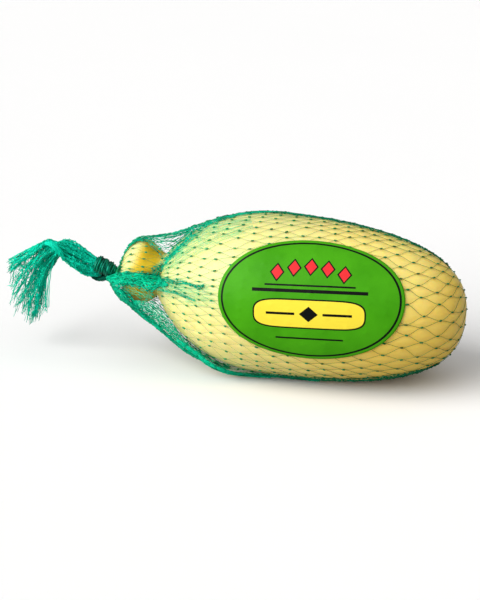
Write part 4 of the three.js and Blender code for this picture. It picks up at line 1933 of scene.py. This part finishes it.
@dataclass
class NetTail:
    """Loose end of the net beyond the tie: a crumpled bundle that folds over and hangs in a frayed fan."""

    form: CheeseForm
    finish: FilamentFinish
    guides: tuple[tuple[Pair, ...], ...] = (
        ((-88.0, 3.6), (-94.5, 7.3), (-99.3, 10.5), (-105.2, 12.4), (-111.0, 10.9), (-114.6, 12.0),
         (-119.4, 9.3), (-125.9, 5.3), (-134.4, -0.3)),
        ((-88.0, 2.2), (-94.8, 4.5), (-100.0, 7.0), (-105.6, 8.9), (-110.1, 9.1), (-114.6, 9.6),
         (-120.2, 5.2), (-126.7, -0.4), (-133.2, -7.0)),
        ((-88.0, 0.3), (-94.8, 1.3), (-100.0, 3.8), (-105.2, 5.9), (-109.5, 7.8), (-114.5, 6.0),
         (-119.3, 0.3), (-125.0, -8.5), (-131.8, -21.1)),
        ((-88.0, -1.6), (-94.5, -1.5), (-99.5, 0.7), (-104.7, 3.6), (-108.7, 6.7), (-112.5, 2.7),
         (-116.5, -6.4), (-119.3, -17.0), (-122.4, -31.7)),
        ((-88.0, -3.0), (-94.3, -4.2), (-99.5, -1.9), (-104.7, 1.4), (-107.9, 5.0), (-110.9, 0.1),
         (-114.1, -6.4), (-114.3, -15.5), (-113.3, -24.6)),
    )
    half_thickness: tuple[float, ...] = (2.4, 4.0, 4.4, 4.2, 3.2, 3.6, 4.0, 3.6, 2.8)
    end_crowding: tuple[Pair, ...] = (
        (-1.0, 0.4), (-0.8, 0.6), (-0.7, 1.7), (-0.2, 1.5), (0.0, 0.9), (0.3, 0.9), (0.36, 0.3), (0.44, 0.3),
        (0.5, 1.4), (1.0, 1.4))
    fold_lip: Bundle = Bundle(
        ((-114.8, -4.8, 11.0), (-111.8, -5.8, 11.2), (-109.0, -6.2, 10.0), (-106.9, -6.2, 8.0),
         (-105.7, -5.4, 5.6), (-105.4, -4.4, 3.4)),
        ((0.5, 0.5), (1.0, 0.7), (1.3, 0.8), (1.3, 0.8), (1.0, 0.7), (0.5, 0.5)), 60, 0.3)
    strays: Bundle = Bundle(
        ((-110.6, -4.2, 3.0), (-112.3, -4.8, -5.0), (-112.9, -5.0, -13.0), (-113.2, -5.0, -21.0)),
        ((0.3, 0.6), (0.4, 0.8), (0.6, 0.8), (0.8, 0.8)), 5, 0.1)
    swing: float = -4.0
    columns: int = 72
    rows: int = 16
    depths: tuple[float, ...] = (1.0, 0.78, 0.55, 0.3)
    strand_radius: float = 0.115
    strand_steps: int = 5
    strand_sides: int = 3
    longest: float = 70.0
    fanned: Pair = (0.5, 0.85)
    knots_end: float = 0.98
    row_spread: float = 0.012
    column_spread: float = 0.9
    depth_spread: float = 0.14
    frayed_depth: float = 0.4
    frayed_lengths: Pair = (0.2, 1.3)
    # Tint, its rise towards the outer layers as painted shade on the inner ones, and its spread.
    tone: Triple = (0.3, 0.35, 0.3)
    knot_half: Triple = (0.6, 0.32, 0.28)
    lip_steps: int = 16
    lip_sides: int = 5
    lip_tone: Pair = (0.4, 0.9)
    seed: int = 23

    def points(self, share: Array, turn: Array, depth: Array | float) -> Array:
        """Points of the bundle in the shared frame.

        Args:
            share: Places from the tie to the end, a little past 1 for the longest strands.
            turn: Turns round the bundle, 0 at its upper edge.
            depth: Share of the bundle's size that the points keep from its middle.

        Returns:
            Points in metres.
        """
        fanned = smoothstep(*self.fanned, share)
        even = 1.0 - 2.0 * np.abs(np.mod(turn / np.pi + 1.0, 2.0) - 1.0)
        side = np.cos(turn) * (0.25 + 0.75 * depth) * (1.0 - fanned) + self._crowded(even) * fanned
        table = np.array(self.guides).transpose(1, 0, 2)
        flat = self._across(spline(table, share), (1.0 - side) / 2.0)
        before = self._across(spline(table, np.clip(share, 0.0, 1.0) - 0.05), (1.0 - side) / 2.0)
        flat = flat + unit(flat - before) * (np.maximum(share - 1.0, 0.0) * self.longest)[..., None]
        half = spline(np.array(self.half_thickness)[:, None], share)[..., 0]
        fold = 1.0 + 0.25 * np.cos(3.0 * np.pi * side) * smoothstep(0.0, 0.15, share)
        y = self.swing * smoothstep(0.3, 1.0, share) - half * np.sin(turn) * fold * depth
        return self.form.to_frame(np.stack([flat[..., 0], y, flat[..., 1]], axis=-1))

    def _crowded(self, side: Array) -> Array:
        """Sides of the strands at the frayed end, where they gather in locks with gaps between.

        Args:
            side: Even sides from -1 to 1.

        Returns:
            Crowded sides from -1 to 1.
        """
        fine = np.linspace(-1.0, 1.0, 201)
        places, weights = np.array(self.end_crowding).T
        filled = np.cumsum(np.interp(fine, places, weights))
        return np.interp((side + 1.0) / 2.0, (filled - filled[0]) / (filled[-1] - filled[0]), fine)

    @staticmethod
    def _across(rows: Array, share: Array) -> Array:
        """Points between the guides, from the upper guide at 0 to the lower one at 1.

        Args:
            rows: Points of the guides, with the guides on the second last axis.
            share: Places across the guides.

        Returns:
            One point for each place.
        """
        place = np.clip(share, 0.0, 1.0) * (rows.shape[-2] - 1)
        first = np.minimum(place.astype(int), rows.shape[-2] - 2)
        part = (place - first)[..., None]
        start = np.take_along_axis(rows, first[..., None, None], axis=-2)[..., 0, :]
        end = np.take_along_axis(rows, first[..., None, None] + 1, axis=-2)[..., 0, :]
        return start * (1.0 - part) + end * part

    def build(self) -> None:
        """Build and dress the strands and knots of the tail and the lip of its fold."""
        noise = np.random.default_rng(self.seed)
        material = self.finish.material()
        layers = [self._layer(depth, noise) for depth in self.depths]
        courses = np.concatenate([paths for paths, _, _ in layers])
        tones = np.concatenate([tone for _, tone, _ in layers])
        outward = courses - courses.mean(axis=(0, 1)) - 0.02 * BACKWARD
        radius = self.strand_radius * MM
        strands = tube_piece("tail_strands", courses, radius, outward, self.strand_sides, tones)
        settle(strands, Solid.NET_TAIL, material)
        settle(self._outer_knots(layers[0][2], noise), Solid.NET_TAIL, material)
        settle(self._lip(noise), Solid.NET_TAIL, material)

    def _outer_knots(self, places: Array, noise: Draw) -> Piece:
        """Copy a knot to places on the outer layer.

        Args:
            places: Middles of the knots in the shared frame.
            noise: Seeded draw for the tints and the unevenness.

        Returns:
            The joined knots.
        """
        middle = self.points(np.linspace(0.0, 1.0, 40), np.full(40, np.pi / 2.0), 0.0)
        away = unit(places - middle[20])
        along = unit(np.gradient(places, axis=0) + 1e-6)
        beside = unit(np.cross(away, along))
        frames = (places, along, beside, np.cross(along, beside))
        return knot_copies("tail_knots", KnotShape(self.knot_half), frames, noise.random(len(places)), noise)

    def _lip(self, noise: Draw) -> Piece:
        """Build the lip of the fold and the stray strands below it.

        Args:
            noise: Seeded draw for the courses and the tints.

        Returns:
            The joined strands.
        """
        bundles = (self.fold_lip, self.strays)
        paths = np.concatenate([bundle.strands(self.form, self.lip_steps, noise) for bundle in bundles])
        tone = noise.uniform(*self.lip_tone, len(paths))
        return tube_piece("tail_fold", paths, self.strand_radius * MM, -BACKWARD, self.lip_sides, tone)

    def _layer(self, depth: float, noise: Draw) -> tuple[Array, Array, Array]:
        """Strands and knots of one layer of the crumpled net.

        Args:
            depth: Share of the bundle's size at which the layer lies.
            noise: Seeded draw for the crumpling.

        Returns:
            Courses of the strands, their tints and the places of the knots.
        """
        columns = max(int(self.columns * (0.4 + 0.6 * depth)), 12)
        step = 2.0 * np.pi / columns
        rows = np.arange(self.rows + 1)[:, None]
        uneven = noise.normal(0.0, self.row_spread, (self.rows + 1, columns))
        share = rows / self.rows * self.knots_end + uneven
        column = np.arange(columns)[None, :] + 0.5 * (rows % 2)
        turn = (column + noise.normal(0.0, self.column_spread, share.shape)) * step
        reach = np.clip(depth + noise.normal(0.0, self.depth_spread, share.shape), 0.05, 1.1)
        t = np.linspace(0.0, 1.0, self.strand_steps)
        eased = smoothstep(0.0, 1.0, t)
        tint, outer_painted_light, tint_spread = self.tone
        courses, tones = [], []
        for row, shift in mesh_links(self.rows if depth > self.frayed_depth else self.rows - 2):
            gap = signed_turn(np.roll(turn[row + 1], -shift) - turn[row])
            length = np.ones(columns)
            if row == self.rows - 1:
                length = noise.uniform(*self.frayed_lengths, columns)
            part = t[None, :] * length[:, None]
            course_share, course_reach = (
                values[row][:, None] * (1.0 - part) + np.roll(values[row + 1], -shift)[:, None] * part
                for values in (share, reach))
            course_turn = turn[row][:, None] + gap[:, None] * (eased[None, :] * length[:, None])
            courses.append(self.points(course_share, course_turn, course_reach))
            # Outer layers take a lighter tint than the inner ones: painted shade inside the bundle.
            drawn = noise.normal(tint + outer_painted_light * depth, tint_spread, columns)
            tones.append(np.clip(drawn, 0.0, 1.0))
        knots = self.points(share[1:-1], turn[1:-1], reach[1:-1]).reshape(-1, 3)
        return np.concatenate(courses), np.concatenate(tones), knots


@dataclass(frozen=True)
class Lamp:
    """A broad distant light."""

    name: str
    azimuth_deg: float
    elevation_deg: float
    spread_deg: float
    strength: float


@dataclass
class Studio:
    """Pale floor, soft light and the camera."""

    target: Triple = (-35.24, 0.0, 32.35)
    azimuth_deg: float = 15.0
    elevation_deg: float = 20.0
    distance: float = 800.0
    focal_pixels: float = 1724.14
    photo_height: float = 600.0
    sensor: float = 36.0
    clip: Pair = (0.05, 50.0)
    sky: float = 0.13
    floor_size: float = 12.0
    lamps: tuple[Lamp, ...] = (Lamp("key", -45.0, 33.0, 60.0, 2.95), Lamp("fill", 16.0, 65.0, 110.0, 1.3),
                               Lamp("side", -68.0, 3.0, 40.0, 1.2))

    def build(self) -> None:
        """Set up the floor, the light and the camera."""
        self._floor()
        self._light()
        self._camera()
        settings = bpy.context.scene.view_settings
        settings.view_transform = "Standard"
        settings.look = "None"

    def _floor(self) -> None:
        """Lay the floor."""
        bpy.ops.mesh.primitive_plane_add(size=self.floor_size, location=(0.0, 0.0, 0.0))
        floor = added_piece("floor")
        with edit_mode():
            bpy.ops.mesh.subdivide(number_cuts=5)
        floor.data.materials.append(FloorFinish().material())
        floor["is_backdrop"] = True
        LOG.info("%s", floor.name)

    @staticmethod
    def _toward(azimuth_deg: float, elevation_deg: float) -> Vector:
        """Direction from the cheese to a place in front of it.

        Args:
            azimuth_deg: Turn to the right of straight in front.
            elevation_deg: Height above the floor.

        Returns:
            A direction of length 1.
        """
        azimuth, elevation = math.radians(azimuth_deg), math.radians(elevation_deg)
        level = math.cos(elevation)
        return Vector((math.sin(azimuth) * level, -math.cos(azimuth) * level, math.sin(elevation)))

    def _light(self) -> None:
        """Hang a key lamp in front on the left, a fill from above and a side lamp, and light the room."""
        for lamp in self.lamps:
            light = bpy.data.lights.new(lamp.name, "SUN")
            light.energy = lamp.strength
            light.angle = math.radians(lamp.spread_deg)
            holder = bpy.data.objects.new(lamp.name, light)
            toward = self._toward(lamp.azimuth_deg, lamp.elevation_deg)
            holder.rotation_euler = toward.to_track_quat("Z", "Y").to_euler()
            bpy.context.scene.collection.objects.link(holder)
        world = bpy.data.worlds.new("room")
        world.use_nodes = True
        background = world.node_tree.nodes["Background"]
        background.inputs["Color"].default_value = (1.0, 1.0, 1.0, 1.0)
        background.inputs["Strength"].default_value = self.sky
        bpy.context.scene.world = world

    def _camera(self) -> None:
        """Set the camera at the photograph's angle."""
        camera = bpy.data.cameras.new("camera")
        camera.sensor_width = self.sensor
        camera.lens = self.focal_pixels / self.photo_height * camera.sensor_width
        camera.clip_start, camera.clip_end = self.clip
        back = self._toward(self.azimuth_deg, self.elevation_deg)
        holder = bpy.data.objects.new("camera", camera)
        holder.location = Vector(self.target) * MM + back * self.distance * MM
        holder.rotation_euler = back.to_track_quat("Z", "Y").to_euler()
        bpy.context.scene.collection.objects.link(holder)
        bpy.context.scene.camera = holder


def main() -> None:
    """Build all pieces in order and note both boxes."""
    logging.basicConfig(level=logging.INFO, format="%(message)s")
    form = CheeseForm()
    layout = NetLayout(form)
    net_finish = FilamentFinish(
        "net_filament", (0.004, 0.075, 0.01, 1.0), (0.012, 0.36, 0.15, 1.0), gloss=0.12)
    # The tail's filament is tinted near full brightness: painted light standing in for light passing through
    # the translucent strands.
    tail_finish = FilamentFinish(
        "tail_filament", (0.001, 0.34, 0.21, 1.0), (0.004, 0.97, 0.66, 1.0), (0.1, 1.0, 0.75, 1.0), 0.4)
    fold_finish = FilamentFinish(
        "fold_filament", (0.001, 0.17, 0.085, 1.0), (0.004, 0.86, 0.48, 1.0), (0.1, 1.0, 0.7, 1.0), 0.3)
    edge_finish = FilamentFinish(
        "edge_filament", (0.001, 0.06, 0.02, 1.0), (0.004, 0.30, 0.15, 1.0), (0.2, 1.0, 0.6, 1.0), 0.2)
    tie_finish = FilamentFinish(
        "tie_filament", (0.0002, 0.006, 0.003, 1.0), (0.002, 0.27, 0.15, 1.0), (0.05, 1.0, 0.7, 1.0),
        0.8, 0.22)
    Studio().build()
    net = Net(layout, net_finish)
    Cheese(form, RindFinish()).build(net.strand_points())
    net.build()
    NetFolds(form, fold_finish, "neck_folds", NECK_FOLDS, 41).build()
    NetFolds(form, fold_finish, "bag_folds", BAG_FOLDS, 42).build()
    NetFolds(form, edge_finish, "edge_folds", EDGE_FOLDS, 43).build()
    Label(form).build(net.knot_points())
    Tie(form, tie_finish).build(tail_finish)
    NetTail(form, tail_finish).build()
    boxes = {name: [[float(value) for value in corner] for corner in box]
             for name, box in (("cad", CAD_BOX), ("visual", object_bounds()))}
    for name, box in boxes.items():
        LOG.info("%s box %s", name, box)


if __name__ == "__main__":
    main()
